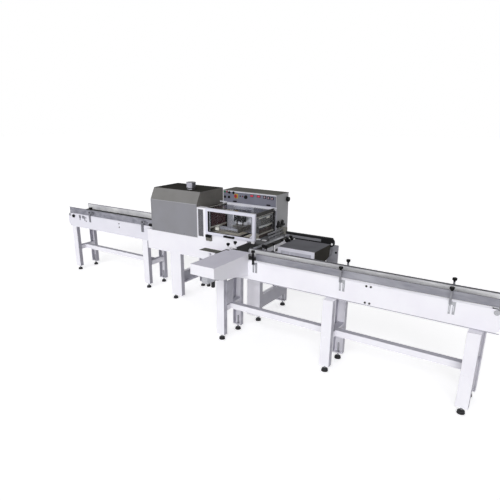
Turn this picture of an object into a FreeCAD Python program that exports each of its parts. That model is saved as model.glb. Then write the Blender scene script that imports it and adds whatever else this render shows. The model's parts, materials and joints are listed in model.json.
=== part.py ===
"""Automatic L-bar sealing line, modelled in millimetres.

A narrow infeed conveyor runs past the front of the machine. A pusher under a sheet cover moves each
pack onto a transfer belt, film from the cradle closes round it, an L-shaped bar seals it under a
hinged guard, a shrink tunnel follows and a wider conveyor takes the packs away.

Frame: +X against the flow, towards the infeed end. +Y from the operator's side to the back. +Z up.
Origin: on the floor, under the centre of the sealing frame's front left levelling foot.
"""
import FreeCAD
import Part
import math
import os

V = FreeCAD.Vector

# Stock
sheet = 3.0                  # folded sheet steel
leg_plate = 6.0              # plates that close a leg at its ends
running_gap = 0.06           # radial clearance of a pin or rod in its bush
seat_gap = 0.3               # between curved faces that seat on each other

# Levelling feet
foot_height = 60.0           # floor to the underside of a leg
pad_radius = 30.0
pad_rim = 8.0                # straight rim of the pad
pad_dome = 8.0               # cone above the rim
rod_radius = 8.0
rod_inside = 90.0            # threaded rod that shows inside an open leg
nut_radius = 15.0
nut_height = 10.0

# Sealing frame
main_leg_width = 165.0
main_leg_depth = 60.0
foot_side_inset = 35.0       # foot centre from the leg's outer side
foot_front_inset = 35.0      # foot centre from the leg's front
deck_beyond = 55.0           # deck beyond the guard
frame_depth = 620.0
frame_overhang = 355.0       # skirt beyond the left legs
skirt_bottom = 595.0
deck_top = 840.0
skirt_flange = 40.0
crossplate_bottom = 155.0
crossplate_height = 150.0
crossplate_flange = 45.0
sill_depth = 30.0
sill_clear = 6.0             # sill below the guard's foot

# Shrink tunnel
tunnel_length = 704.0
tunnel_left_inset = 90.0     # from the skirt's left end
tunnel_front_step = 8.0      # cover stands proud of the skirt
tunnel_depth = 505.0
shoulder_height = 1218.0     # foot of the sloping panel
tunnel_top = 1347.0
slope_run = 70.0             # how far the sloping panel leans back
tunnel_end_thick = 20.0
chamber_wall = 40.0
bore_width = 250.0           # tunnel passage across the flow
bore_height = 170.0
chimney_radius = 46.0
chimney_height = 58.0
chimney_cap_radius = 56.0
chimney_cap_height = 28.0
chimney_place = 0.70         # along the tunnel, from its left end
chimney_back = 170.0         # behind the tunnel's front
chimney_round = 5.0
curtain_strips = 9
curtain_thick = 3.0
curtain_gap = 3.0
curtain_clear = 60.0         # strips end above the belt

# Vent column beside the tunnel
column_width = 132.0
column_depth = 75.0
column_top = 1190.0
vent_width = 76.0
vent_inset = 14.0            # strip from the column's left side
vent_bottom = 862.0
vent_top = 1172.0
vent_slots = 10
vent_recess = 6.0
vent_margin = 10.0           # plain ends of the vent strip
vent_border = 6.0
vent_open = 0.6              # open share of each pitch

# Duct that carries the passage on to the guard
hood_top = 1166.0
hood_wall = 14.0
hood_rear_wall = 5.0
hood_curtain_inset = 12.0

# Belts
belt_level = 880.0           # product level in the sealing zone
belt_thick = 3.0
belt_roller = 16.0
belt_centre = 240.0          # belt centre line in Y through the tunnel
belt_nose = 78.0             # tunnel belt beyond the tunnel's outlet
seal_belt_width = 215.0
belt_end_gap = 8.0
cheek_thick = 6.0            # side plates of the belt beds
cheek_inset = 40.0
cheek_rise = 0.6             # share of the roller above its axis

# Guard over the sealing zone
guard_gap_left = 10.0        # from the vent column
guard_front = -72.0
guard_bottom = 906.0
guard_top = 1200.0
guard_tube = 33.0
guard_tube_depth = 30.0
guard_tube_round = 9.0
guard_rail = 15.0            # side rails of the guard's roof
guard_weld = 2.0             # rails run into the front frame
gusset_size = 38.0
side_rail = 10.0             # slim frame of the guard's side
side_rail_bottom = 960.0
side_rail_height = 12.0
side_rail_back = 21.0        # in front of the hinge axis
pane_inset = 12.0
pane_clear = 1.0
guard_pane = 4.0
hinge_pin_radius = 8.0
hinge_bar_radius = 14.0
hinge_from_cabinet = 27.0
hinge_drop = 15.0            # axis below the guard's top
hinge_lug = 8.0
hinge_side_gap = 5.0
hinge_pin_in = 26.0
handle_length = 130.0
handle_reach = 34.0
handle_bar = 22.0
handle_lift = 4.0
handle_thin = 2.0            # posts thinner than the grip
handle_place = 0.515         # along the guard from its left side
latch_inset = 8.0            # starts left of the guard
latch_width = 72.0
latch_depth = 26.0
latch_height = 68.0
latch_clear = 8.0            # below the guard
latch_cap = 26.0             # height of the black cap

# Control cabinet
cabinet_width = 720.0        # carries both hinges, so it sets the guard's width
cabinet_from_tunnel = 81.0
cabinet_front = 360.0
cabinet_depth = 255.0
cabinet_top = 1341.0
cabinet_roof = 6.0
panel_bottom = 1205.0
panel_thick = 5.0
ledge_height = 18.0
ledge_proud = 4.0            # ledge in front of the fascia
cabinet_round = 2.0
cabinet_side_clear = 2.0
wheel_radius = 27.0
wheel_thick = 30.0
wheel_back = 218.0           # behind the cabinet's front
wheel_drop = 72.0            # below its roof
lever_back = 59.0
lever_level = 1002.0
lever_hub = 10.0
lever_reach = 36.0
lever_wing = 72.0
lever_thick = 11.0
lever_rise = 52.0
lever_prong_near = 0.8       # prongs, as shares of the wing
lever_prong_far = 0.4
button_radius = 10.0
button_proud = 10.0
button_first = 27.0          # places along and up the fascia
button_pitch = 30.0
button_low = 53.0
button_rows = 60.0
instrument_row = 75.0
display_row = 93.0
switch_plate = 50.0
switch_along = 182.0
selector_along = 314.0
selector_gap = 52.0
display_width = 44.0
display_height = 28.0
display_along = 396.0
display_pitch = 86.0
dial_along = 560.0
dial_pitch = 40.0
grip_width = 52.0
grip_height = 14.0
grip_along = 160.0
grip_row = 17.0

# Sealing head
jaw_thick = 34.0
jaw_height = 48.0
jaw_lift = 50.0              # open gap between the jaws
jaw_left = 36.0              # from the guard's left side to the long jaw
jaw_length = 298.0
jaw_block_length = 55.0
jaw_block_height = 40.0
jaw_block_proud = 10.0
jaw_front = 75.0             # front of the long jaw
jaw_reach = 235.0            # short jaw, across the belt
yoke_width = 120.0           # plate beside the short jaw that the lift rods stand on
yoke_depth = 90.0
yoke_thick = 20.0
yoke_back = 200.0            # front edge of the plate
jaw_rod_radius = 8.0
jaw_rod_end = 18.0           # rods stop short of the cylinders' heads
bridge_bottom = 1100.0
bridge_thick = 12.0
bridge_foot = 1000.0
bridge_reach = 145.0         # in front of the cabinet
bridge_rib = 60.0
bridge_rib_thick = 6.0
cylinder_width = 56.0
cylinder_height = 78.0
cylinder_head = 7.0
cylinder_round = 5.0
cylinder_pitch = 78.0

# Transfer zone
transfer_inset = 105.0       # transfer belt starts under the guard
transfer_width = 210.0
transfer_back = 350.0
rail_width = 12.0
rail_height = 34.0
rail_from_belt = 6.0
rail_rise = 36.0             # above the deck
film_roller_radius = 11.0
film_roller_length = 300.0
film_roller_pitch = 31.0
film_roller_count = 3
film_roller_drop = 24.0      # first roller below the plate's top
film_plate_thick = 10.0
film_plate_inset = 60.0      # behind the cabinet's front
film_plate_left = 8.0        # from the cabinet
film_plate_top = 985.0
film_plate_beyond = 60.0     # beyond the frame's right end
film_plate_foot = 8.0
deflector_thick = 4.0        # film deflector inside the guard
deflector_from_right = 50.0
deflector_depth = 235.0
deflector_bottom = 1000.0
deflector_top = 1163.0
deflector_cut = 70.0         # bevelled lower front corner
deflector_roller = 9.0
deflector_roller_length = 300.0
deflector_roller_drop = 32.0
deflector_roller_pitch = 100.0

# Film cradle
cradle_gap = 215.0           # from the frame's right end
cradle_length = 410.0
cradle_front = -51.0
cradle_depth = 375.0
cradle_top = 900.0
cradle_height = 190.0
cradle_taper = 17.0          # rear face leans in downwards
cradle_step = 125.0          # straight part of the rear face
cradle_knee = 101.0          # where the underside turns up
cradle_knee_rise = 38.0
cradle_arm = 50.0
cradle_arm_front = 40.0
cradle_arm_back = 150.0
end_plate_lap = 28.0         # end plate over the cradle's right end
end_plate_width = 93.0
end_plate_wing = 34.0        # lower part runs on behind the cradle
end_plate_shoulder = 60.0    # the wing's slope starts this far below the top
end_plate_foot = 15.0        # and ends this far above the foot
end_plate_bottom = 687.0
end_plate_top = 884.0
end_plate_thick = 8.0
end_plate_gap = 56.0         # behind the cradle
end_plate_lug_drop = 50.0    # lug below the hook
end_plate_bore = 10.0
end_plate_bore_inset = 22.0  # from its right side
end_plate_bore_drop = 80.0   # below its top
back_plate_step = 75.0       # from the frame's right end
back_plate_top = 934.0
film_bar_size = 22.0
film_hook_radius = 50.0
film_hook_thick = 20.0

# Film guide with its clamps, between the transfer belt and the cradle
guide_bar_step = 30.0        # left of the cradle
guide_bar_width = 20.0
guide_bar_front = -262.0
guide_bar_back = 312.0
guide_bar_bottom = 850.0
guide_bar_height = 16.0
guide_bar_post = 20.0
film_post_radius = 7.0
clamp_tall = 50.0            # clamp posts above the guide's bar
clamp_short = 17.0

# Pusher
pusher_step_in = 87.0        # from the transfer belt's left side
pusher_width = 262.0
pusher_front = -1100.0
pusher_top = 935.0
pusher_nose = 96.0           # height of the front face
pusher_step = 118.0          # where the side deepens
pusher_step_drop = 42.0
pusher_rear_drop = 205.0
pusher_round = 4.0
pusher_lip = 55.0            # roof sheet over the conveyor's edge
pusher_lip_inset = 34.0
drive_inset = 98.0           # from the cover's left side
drive_width = 60.0
drive_top = 820.0
drive_height = 60.0
drive_front = -1060.0
drive_plate_inset = 8.0
drive_plate_width = 150.0
drive_plate_y = -905.0
drive_plate_depth = 40.0
drive_plate_thick = 10.0
bowl_radius = 19.0
bowl_length = 85.0
bowl_inset = 27.0            # first bowl from the plate's left side
bowl_pitch = 53.0
nose_reach = 226.0           # slim pack stop beyond the infeed's end
nose_front = -495.0
nose_depth = 101.0
nose_top = 860.0
nose_thick = 8.0
nose_arm_inset = 54.0
nose_arm_width = 24.0
nose_post_radius = 26.0
nose_post_inset = 86.0
strap_width = 30.0
shelf_inset = 8.0            # shelf behind the infeed beam's end
shelf_length = 58.0
shelf_depth = 30.0
shelf_level = 870.0
shelf_thick = 6.0
shelf_clamp_low = 29.0       # knob above the shelf
shelf_clamp_high = 35.0      # knob above its arm
shelf_clamp_near = 26.0      # places along the shelf
shelf_clamp_far = 114.0
cone_radius = 15.0
cone_height = 26.0

# Conveyors
conveyor_leg_width = 95.0
conveyor_leg_depth = 55.0
conveyor_frame_depth = 350.0
conveyor_foot_inset = 30.0   # foot centre from the leg's outer face
bar_bottom = 303.0
bar_height = 58.0
bar_width = 60.0
beam_height = 188.0
beam_flange = 28.0
beam_end_round = 55.0
beam_sheet = 3.0
belt_rise = 8.0              # belt above the beam's top edge
bed_depth = 22.0             # hat-shaped belt bed
end_roller_radius = 28.0
belt_side_gap = 14.0
guide_rise = 90.0            # guides' top above the beam's top edge
guide_lift = 1.5             # running gap under a guide
guide_sheet = 3.0
guide_lip = 9.0
infeed_front_rise = 73.0
outfeed_rise = 84.0
guide_margin = 30.0          # guides stop short of the beam's ends
guide_lead = 130.0           # rear infeed guide starts this much earlier
belt_margin = 8.0            # belt ends inside the beam's ends
bed_end_clear = 20.0
journal_radius = 10.0
cap_radius = 20.0
cap_thick = 7.0
post_width = 14.0
post_stand = 12.0            # guide post in front of the beam
post_below = 25.0            # post below the beam's top
post_above = 80.0
post_lead = 19.0             # first infeed post before the guide's start
post_pitch = 864.0
post_count = 3
prong_thick = 5.0
prong_drop = 105.0           # clamp foot below the beam's top
prong_short = 96.0
prong_gap = 14.0
prong_slot = 5.0
arm_rise = 44.0              # arm above the beam's top
arm_size = 10.0
bracket_width = 25.0
bracket_thick = 6.0
bracket_drop = 87.0
bracket_rise = 44.0
bracket_arm = 61.0
bracket_places = (-1590.0, -575.0)
clamp_x = -1965.0            # clamp of the outfeed's rear guide
clamp_reach = 46.0
clamp_level = 800.0
slot_bars = (-1802.0, -1699.0)
slot_bar_width = 12.0
slot_bar_bottom = 758.0
slot_bar_height = 64.0
leg_bracket_front = -600.0
leg_bracket_back = -485.0
leg_bracket_bottom = 386.0
leg_bracket_top = 630.0
knob_radius = 18.0
knob_height = 20.0
knob_neck = 12.0

infeed_centre = -460.0
infeed_width = 204.0
infeed_top = 872.0
infeed_leg_step = 67.0       # first leg pair from the transfer belt's left side
infeed_leg_pitch = 1135.0
infeed_bays = 2
infeed_splice = 311.0        # beam joint beyond the second leg pair
infeed_beyond = 150.0        # beam beyond the last leg pair
infeed_before = 140.0
infeed_guide_step = 420.0    # guides start from the transfer belt's left side
infeed_lane = 86.0           # between the guides
infeed_lane_inset = 22.0     # front guide from the beam's front

outfeed_centre = 237.0
outfeed_width = 350.0
outfeed_top = 840.0
outfeed_leg_last = -550.0    # leg pair beside the tunnel
outfeed_leg_pitch = 1395.0
outfeed_beyond = 102.0
outfeed_guide_inset = 12.0

# Derived places
frame_front = -foot_front_inset
frame_rear = frame_front + frame_depth
leg_left = -foot_side_inset
frame_left = leg_left - frame_overhang
tunnel_left = frame_left + tunnel_left_inset
tunnel_right = tunnel_left + tunnel_length
tunnel_front = frame_front - tunnel_front_step
tunnel_rear = tunnel_front + tunnel_depth
column_left = tunnel_right
column_right = column_left + column_width
guard_left = column_right + guard_gap_left
cabinet_left = tunnel_right + cabinet_from_tunnel
cabinet_right = cabinet_left + cabinet_width
guard_right = cabinet_right - cabinet_side_clear - hinge_lug - hinge_side_gap
guard_width = guard_right - guard_left
frame_right = guard_right + deck_beyond
hinge_y = cabinet_front - hinge_from_cabinet
hinge_z = guard_top - hinge_drop
jaw_x = guard_left + jaw_left
jaw_end = jaw_x + jaw_length
yoke_left = jaw_end - jaw_thick - yoke_width
transfer_left = guard_right - transfer_inset
transfer_right = transfer_left + transfer_width
infeed_front = infeed_centre - infeed_width / 2
transfer_front = infeed_centre + infeed_width / 2
outfeed_front = outfeed_centre - outfeed_width / 2
outfeed_back = outfeed_centre + outfeed_width / 2
end_plate_front = cradle_front + cradle_depth + end_plate_gap
film_plate_front = cabinet_front + film_plate_inset
cradle_left = frame_right + cradle_gap
cradle_right = cradle_left + cradle_length
end_plate_left = cradle_right - end_plate_lap
back_plate_left = frame_right + back_plate_step
guide_bar_left = cradle_left - guide_bar_step
infeed_leg_first = transfer_left + infeed_leg_step
infeed_start = infeed_leg_first - infeed_before
infeed_guide_start = transfer_left + infeed_guide_step
post_first = infeed_guide_start - post_lead
pusher_left = transfer_left + pusher_step_in
drive_left = pusher_left + drive_inset
drive_plate_left = pusher_left + drive_plate_inset
nose_left = infeed_start - nose_reach
shelf_left = infeed_start + shelf_inset


def box(x0, x1, y0, y1, z0, z1):
    """A block between two corners."""
    return Part.makeBox(x1 - x0, y1 - y0, z1 - z0, V(x0, y0, z0))


def rod(radius, start, direction, length):
    """A round bar from a start point along a direction."""
    return Part.makeCylinder(radius, length, V(*start), V(*direction))


def fuse(shapes):
    """One solid from touching shapes."""
    joined = shapes[0].multiFuse(shapes[1:]) if len(shapes) > 1 else shapes[0]
    return joined.removeSplitter()


def group(shapes):
    """Separate solids that share one name."""
    return Part.makeCompound(shapes)


def extrude(points, direction):
    """A prism over a closed outline of straight sides."""
    corners = [V(*p) for p in points]
    outline = Part.makePolygon(corners + corners[:1])
    return Part.Face(outline).extrude(V(*direction))


def edges_along(shape, axis, picked=None):
    """Straight edges parallel to an axis, filtered by where their middle lies."""
    found = []
    for edge in shape.Edges:
        span = edge.Vertexes[-1].Point - edge.Vertexes[0].Point
        if span.Length > 0 and abs(abs(span.normalize().dot(V(*axis))) - 1) < 1e-6:
            middle = edge.valueAt((edge.FirstParameter + edge.LastParameter) / 2)
            if picked is None or picked(middle):
                found.append(edge)
    return found


def channel_leg(x0, width, y_face, depth, back, bottom, top):
    """An open channel leg. back is +1 when its open side looks to +Y, and -1 for -Y."""
    y_open = y_face + back * depth
    y_low, y_high = sorted((y_face, y_open))
    outer = box(x0, x0 + width, y_low, y_high, bottom, top)
    web_inner = y_face + back * sheet
    c_low, c_high = sorted((web_inner, y_open + back))
    hollow = box(x0 + sheet, x0 + width - sheet, c_low, c_high, bottom + leg_plate, top - leg_plate)
    leg = outer.cut(hollow)
    corners = edges_along(leg, (0, 0, 1), lambda p: abs(p.y - y_face) < 0.1)
    return leg.makeFillet(sheet, corners)


def foot_pad(x, y):
    """Round pad with a coned top."""
    rim = Part.makeCylinder(pad_radius, pad_rim, V(x, y, 0))
    dome = Part.makeCone(pad_radius, nut_radius, pad_dome, V(x, y, pad_rim))
    return fuse([rim, dome])


def foot_rod(x, y):
    """Threaded rod with a lock nut under the leg's end plate."""
    base = pad_rim + pad_dome
    shank = Part.makeCylinder(rod_radius, foot_height - base, V(x, y, base))
    nut = hexagon(nut_radius, x, y, foot_height - nut_height, nut_height)
    return fuse([shank, nut])


def foot_rod_top(x, y):
    """The rod's end inside the leg, with its upper nut on the end plate."""
    base = foot_height + leg_plate
    shank = Part.makeCylinder(rod_radius, rod_inside, V(x, y, base))
    nut = hexagon(nut_radius, x, y, base, nut_height)
    return fuse([shank, nut])


def hexagon(radius, x, y, z, height):
    """A hexagonal prism standing on a level."""
    corners = []
    for k in range(6):
        turn = math.radians(60 * k)
        corners.append((x + radius * math.cos(turn), y + radius * math.sin(turn), z))
    return extrude(corners, (0, 0, height))


def knob(x, y, z):
    """Clamping knob: a neck and a crowned grip with finger hollows."""
    neck = Part.makeCone(knob_radius * 0.45, knob_radius * 0.6, knob_neck, V(x, y, z))
    grip = Part.makeCylinder(knob_radius, knob_height, V(x, y, z + knob_neck))
    grip = grip.makeFillet(knob_height * 0.25, grip.Edges[:1])
    lobes = 5
    for k in range(lobes):
        turn = 2 * math.pi * k / lobes
        px = x + knob_radius * 1.25 * math.cos(turn)
        py = y + knob_radius * 1.25 * math.sin(turn)
        grip = grip.cut(Part.makeCylinder(knob_radius * 0.5, knob_height, V(px, py, z + knob_neck)))
    return fuse([neck, grip])


def main_leg_places():
    """Left side, foot X and foot Y for the four frame legs: front pair first."""
    right = frame_right - main_leg_width
    places = []
    for y_face, back in ((frame_front, 1), (frame_rear, -1)):
        foot_y = y_face + back * foot_front_inset
        places.append((leg_left, y_face, back, leg_left + foot_side_inset, foot_y))
        places.append((right, y_face, back, frame_right - foot_side_inset, foot_y))
    return places


def main_legs():
    legs = []
    for x0, y_face, back, foot_x, foot_y in main_leg_places():
        legs.append(channel_leg(x0, main_leg_width, y_face, main_leg_depth, back,
                                foot_height, skirt_bottom))
    return group(legs)


def main_crossplates():
    """Deep channels between the front and rear legs, web outwards."""
    top = crossplate_bottom + crossplate_height
    y0 = frame_front + main_leg_depth
    y1 = frame_rear - main_leg_depth
    plates = []
    for web, inward in ((leg_left, 1), (frame_right, -1)):
        x_low, x_high = sorted((web, web + inward * crossplate_flange))
        outer = box(x_low, x_high, y0, y1, crossplate_bottom, top)
        h_low, h_high = sorted((web + inward * sheet, web + inward * (crossplate_flange + 1)))
        plates.append(outer.cut(box(h_low, h_high, y0 - 1, y1 + 1, crossplate_bottom + sheet, top - sheet)))
    return group(plates)


def skirt_profile(y_face, inward):
    """Skirt section: a web with a return flange at its foot and at its head."""
    a = y_face
    b = y_face + inward * sheet
    c = y_face + inward * skirt_flange
    low = skirt_bottom
    high = deck_top - sheet
    return [(a, low), (c, low), (c, low + sheet), (b, low + sheet), (b, high - sheet),
            (c, high - sheet), (c, high), (a, high)]


def long_skirt(y_face, inward):
    points = [(frame_left, y, z) for y, z in skirt_profile(y_face, inward)]
    skirt = extrude(points, (frame_right - frame_left, 0, 0))
    return skirt.makeFillet(sheet * 0.8, edges_along(skirt, (1, 0, 0), lambda p: abs(p.y - y_face) < 0.1))


def skirt_ends():
    """Plates that close the skirt at its left and right ends."""
    y0 = frame_front + skirt_flange
    y1 = frame_rear - skirt_flange
    high = deck_top - sheet
    return group([box(frame_left, frame_left + sheet, y0, y1, skirt_bottom, high),
                  box(frame_right - sheet, frame_right, y0, y1, skirt_bottom, high)])


def machine_deck():
    """Deck plate over the skirts."""
    return box(frame_left, frame_right, frame_front, frame_rear, deck_top - sheet, deck_top)


def guard_sill():
    """Sill on the deck that the guard closes over."""
    return box(column_right, transfer_left - belt_end_gap, frame_front, frame_front + sill_depth,
               deck_top, guard_bottom - sill_clear)


def tunnel_hood():
    """Duct from the tunnel's inlet to the guard, open at both ends and below."""
    y0 = tunnel_front + column_depth
    outer = box(tunnel_right, column_right, y0, cabinet_front, deck_top, hood_top)
    passage = box(tunnel_right - 1, column_right + 1, y0 + hood_wall, cabinet_front - hood_rear_wall,
                  deck_top - 1, hood_top - hood_wall)
    return outer.cut(passage)


def tunnel_outline(grow=0.0):
    """Tunnel section: upright front, sloping front-top panel, flat roof and upright back."""
    y0 = tunnel_front + grow
    y1 = tunnel_rear - grow
    rise = tunnel_top - shoulder_height
    stretch = math.hypot(slope_run, rise) / rise
    return [(y0, deck_top), (y0, shoulder_height + rise * grow * (1 - stretch) / slope_run),
            (tunnel_front + slope_run * (1 - grow / rise) + grow * stretch, tunnel_top - grow),
            (y1, tunnel_top - grow), (y1, deck_top)]


def tunnel_cover():
    """Folded sheet cover, open below and at both ends."""
    outer = extrude([(tunnel_left, y, z) for y, z in tunnel_outline()], (tunnel_length, 0, 0))
    inner_points = [(tunnel_left - 1, y, z) for y, z in tunnel_outline(sheet)]
    inner_points[0] = (inner_points[0][0], inner_points[0][1], deck_top - 1)
    inner_points[-1] = (inner_points[-1][0], inner_points[-1][1], deck_top - 1)
    inner = extrude(inner_points, (tunnel_length + 2, 0, 0))
    return outer.cut(inner)


def bore_box(x0, x1, grow=0.0):
    """The tunnel's passage, from the belt level up."""
    return box(x0, x1, belt_centre - bore_width / 2 - grow, belt_centre + bore_width / 2 + grow,
               process_foot(), belt_level + bore_height + grow)


def tunnel_ends():
    """End walls inside the cover, cut for the passage."""
    walls = []
    for x0 in (tunnel_left, tunnel_right - tunnel_end_thick):
        wall = extrude([(x0, y, z) for y, z in tunnel_outline(sheet)], (tunnel_end_thick, 0, 0))
        walls.append(wall.cut(bore_box(x0 - 1, x0 + tunnel_end_thick + 1)))
    return group(walls)


def tunnel_chamber():
    """Insulated chamber between the end walls, standing on the deck."""
    x0 = tunnel_left + tunnel_end_thick
    x1 = tunnel_right - tunnel_end_thick
    half = bore_width / 2 + chamber_wall
    outer = box(x0, x1, belt_centre - half, belt_centre + half,
                deck_top, belt_level + bore_height + chamber_wall)
    return outer.cut(bore_box(x0 - 1, x1 + 1))


def tunnel_chimney():
    """Exhaust stub with an overhanging cap."""
    x = tunnel_left + tunnel_length * chimney_place
    y = tunnel_front + chimney_back
    stub = Part.makeCylinder(chimney_radius, chimney_height, V(x, y, tunnel_top))
    cap = Part.makeCylinder(chimney_cap_radius, chimney_cap_height, V(x, y, tunnel_top + chimney_height))
    top_edges = [e for e in cap.Edges if e.Length > 1 and e.CenterOfMass.z > cap.BoundBox.ZMax - 0.1]
    cap = cap.makeFillet(chimney_round, top_edges)
    return fuse([stub, cap])


def curtain_row(x, y0, y1, foot, head):
    """One row of hanging strips."""
    pitch = (y1 - y0) / curtain_strips
    strips = []
    for k in range(curtain_strips):
        near = y0 + k * pitch + curtain_gap / 2
        strips.append(box(x, x + curtain_thick, near, near + pitch - curtain_gap, foot, head))
    return strips


def tunnel_curtains():
    """Flexible strips at the tunnel's outlet and at the hood's mouth."""
    foot = belt_level + curtain_clear
    outlet = curtain_row(tunnel_left + tunnel_end_thick / 2, belt_centre - bore_width / 2,
                         belt_centre + bore_width / 2, foot, belt_level + bore_height)
    mouth = curtain_row(column_right - hood_curtain_inset, tunnel_front + column_depth + hood_wall,
                        cabinet_front - hood_rear_wall, foot, hood_top - hood_wall)
    return group(outlet + mouth)


def belt_loop(x0, x1, y0, y1, top, roller, along_x=True):
    """A belt as one closed loop: two flat runs and two half-round turns."""
    outer_r = roller + belt_thick
    axis_z = top - outer_r
    length = (x1 - x0) if along_x else (y1 - y0)
    width = (y1 - y0) if along_x else (x1 - x0)

    def stadium(radius):
        span = length - 2 * outer_r
        mid = box(0, span, 0, width, -radius, radius)
        near = Part.makeCylinder(radius, width, V(0, 0, 0), V(0, 1, 0))
        far = Part.makeCylinder(radius, width, V(span, 0, 0), V(0, 1, 0))
        return fuse([mid, near, far])

    loop = stadium(outer_r).cut(stadium(roller))
    if along_x:
        loop.translate(V(x0 + outer_r, y0, axis_z))
        return loop
    loop.rotate(V(0, 0, 0), V(0, 0, 1), 90)
    loop.translate(V(x1, y0 + outer_r, axis_z))
    return loop


def process_spans():
    """Ends of the belts through the tunnel, behind the long jaw and after the short jaw."""
    return ((tunnel_left - belt_nose, tunnel_right),
            (tunnel_right + belt_end_gap, jaw_end - jaw_thick - belt_end_gap),
            (jaw_end + belt_end_gap, transfer_left - belt_end_gap))


def process_belts():
    """Belts through the sealing zone and the tunnel."""
    y0 = belt_centre - seal_belt_width / 2
    y1 = belt_centre + seal_belt_width / 2
    return group([belt_loop(x0, x1, y0, y1, belt_level, belt_roller) for x0, x1 in process_spans()])


def process_foot():
    """Level of the passage floor, just under the belts' return run."""
    return belt_level - 2 * (belt_thick + belt_roller) - seat_gap


def belt_core(x0, x1, y0, y1, top, roller, along_x=True):
    """Rollers and bed inside a belt loop, one solid."""
    outer_r = roller + belt_thick
    axis_z = top - outer_r
    r = roller - seat_gap
    if along_x:
        near = rod(r, (x0 + outer_r, y0, axis_z), (0, 1, 0), y1 - y0)
        far = rod(r, (x1 - outer_r, y0, axis_z), (0, 1, 0), y1 - y0)
        bed = box(x0 + outer_r, x1 - outer_r, y0, y1, axis_z - r, axis_z + r)
    else:
        near = rod(r, (x0, y0 + outer_r, axis_z), (1, 0, 0), x1 - x0)
        far = rod(r, (x0, y1 - outer_r, axis_z), (1, 0, 0), x1 - x0)
        bed = box(x0, x1, y0 + outer_r, y1 - outer_r, axis_z - r, axis_z + r)
    return fuse([near, far, bed])


def process_beds():
    """Belt beds of the sealing zone and the tunnel, with their feet on the deck."""
    y0 = belt_centre - seal_belt_width / 2
    y1 = belt_centre + seal_belt_width / 2
    axis_z = belt_level - belt_roller - belt_thick
    beds = []
    for x0, x1 in process_spans():
        foot = process_foot() if x0 < tunnel_left else deck_top
        cheeks = []
        for y in (y0 - cheek_thick, y1):
            cheeks.append(box(x0 + cheek_inset, x1 - cheek_inset, y, y + cheek_thick, foot,
                              axis_z + belt_roller * cheek_rise))
        beds.append(fuse([belt_core(x0, x1, y0, y1, belt_level, belt_roller)] + cheeks))
    return group(beds)


def vent_column():
    """White box column beside the tunnel with an upright slot for the vent strip."""
    y0 = tunnel_front
    y1 = y0 + column_depth
    body = box(column_left, column_right, y0, y1, deck_top, column_top)
    body = body.makeFillet(sheet, edges_along(body, (0, 0, 1), lambda p: abs(p.y - y0) < 0.1))
    x0 = column_left + vent_inset
    slot = box(x0, x0 + vent_width, y0 - 1, y0 + vent_recess + sheet, vent_bottom, vent_top)
    return body.cut(slot)


def vent_grille():
    """Perforated strip in the column's slot."""
    y0 = tunnel_front + vent_recess
    x0 = column_left + vent_inset + seat_gap
    x1 = column_left + vent_inset + vent_width - seat_gap
    plate = box(x0, x1, y0, y0 + sheet, vent_bottom + seat_gap, vent_top - seat_gap)
    pitch = (vent_top - vent_bottom - 2 * vent_margin) / vent_slots
    cutters = []
    for k in range(vent_slots):
        z0 = vent_bottom + vent_margin + (k + (1 - vent_open) / 2) * pitch
        cutters.append(box(x0 + vent_border, x1 - vent_border, y0 - 1, y0 + sheet + 1,
                           z0, z0 + pitch * vent_open))
    return plate.cut(group(cutters))


def guard_frame():
    """Front frame of rounded tube, roof rails and the hinge bar, one welded piece."""
    y0 = guard_front
    y1 = y0 + guard_tube_depth
    outer = box(guard_left, guard_right, y0, y1, guard_bottom, guard_top)
    outer = outer.makeFillet(guard_tube_round, edges_along(outer, (0, 1, 0)))
    hole = box(guard_left + guard_tube, guard_right - guard_tube, y0 - 1, y1 + 1,
               guard_bottom + guard_tube, guard_top - guard_tube)
    hole = hole.makeFillet(guard_tube_round * 0.5, edges_along(hole, (0, 1, 0)))
    front = outer.cut(hole)
    front = front.makeFillet(guard_tube_round * 0.6,
                             [e for e in front.Edges if abs(e.CenterOfMass.y - y0) < 0.05])
    gx = guard_right - guard_tube
    gy = y0 + guard_tube_depth / 3
    gz = guard_bottom + guard_tube
    gusset = extrude([(gx + 1, gy, gz - 1), (gx - gusset_size, gy, gz - 1), (gx + 1, gy, gz + gusset_size)],
                     (0, sheet * 2, 0))
    bar = rod(hinge_bar_radius, (guard_left, hinge_y, hinge_z), (1, 0, 0), guard_width)
    pieces = [front, gusset, bar]
    for x0 in (guard_left, guard_right - guard_rail):
        pieces.append(box(x0, x0 + guard_rail, y1 - guard_weld, hinge_y, guard_top - guard_rail, guard_top))
    back = hinge_y - side_rail_back
    for x0 in (guard_left, guard_right - side_rail):
        pieces.append(box(x0, x0 + side_rail, y1 - guard_weld, back + side_rail_height, side_rail_bottom,
                          side_rail_bottom + side_rail_height))
        pieces.append(box(x0, x0 + side_rail, back, back + side_rail_height, side_rail_bottom, hinge_z))
    frame = fuse(pieces)
    for x0, side in ((guard_left, 1), (guard_right, -1)):
        start = (x0 - side, hinge_y, hinge_z)
        frame = frame.cut(rod(hinge_pin_radius + running_gap, start, (side, 0, 0), hinge_pin_in + sheet))
    return frame


def guard_panels():
    """Clear panes: front and roof as one folded sheet, and both sides."""
    y_front = guard_front + guard_tube_depth
    x0 = guard_left + guard_rail + seat_gap
    x1 = guard_right - guard_rail - seat_gap
    pane_top = guard_top - pane_inset
    front = box(x0, x1, y_front, y_front + guard_pane, guard_bottom + pane_inset, pane_top)
    roof = box(x0, x1, y_front + guard_pane, hinge_y - hinge_bar_radius - pane_clear,
               pane_top - guard_pane, pane_top)
    panes = [fuse([front, roof])]
    for x in (guard_left + sheet, guard_right - sheet - guard_pane):
        panes.append(box(x, x + guard_pane, y_front, hinge_y - side_rail_back,
                         side_rail_bottom + side_rail_height, guard_top - guard_rail))
    return group(panes)


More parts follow.
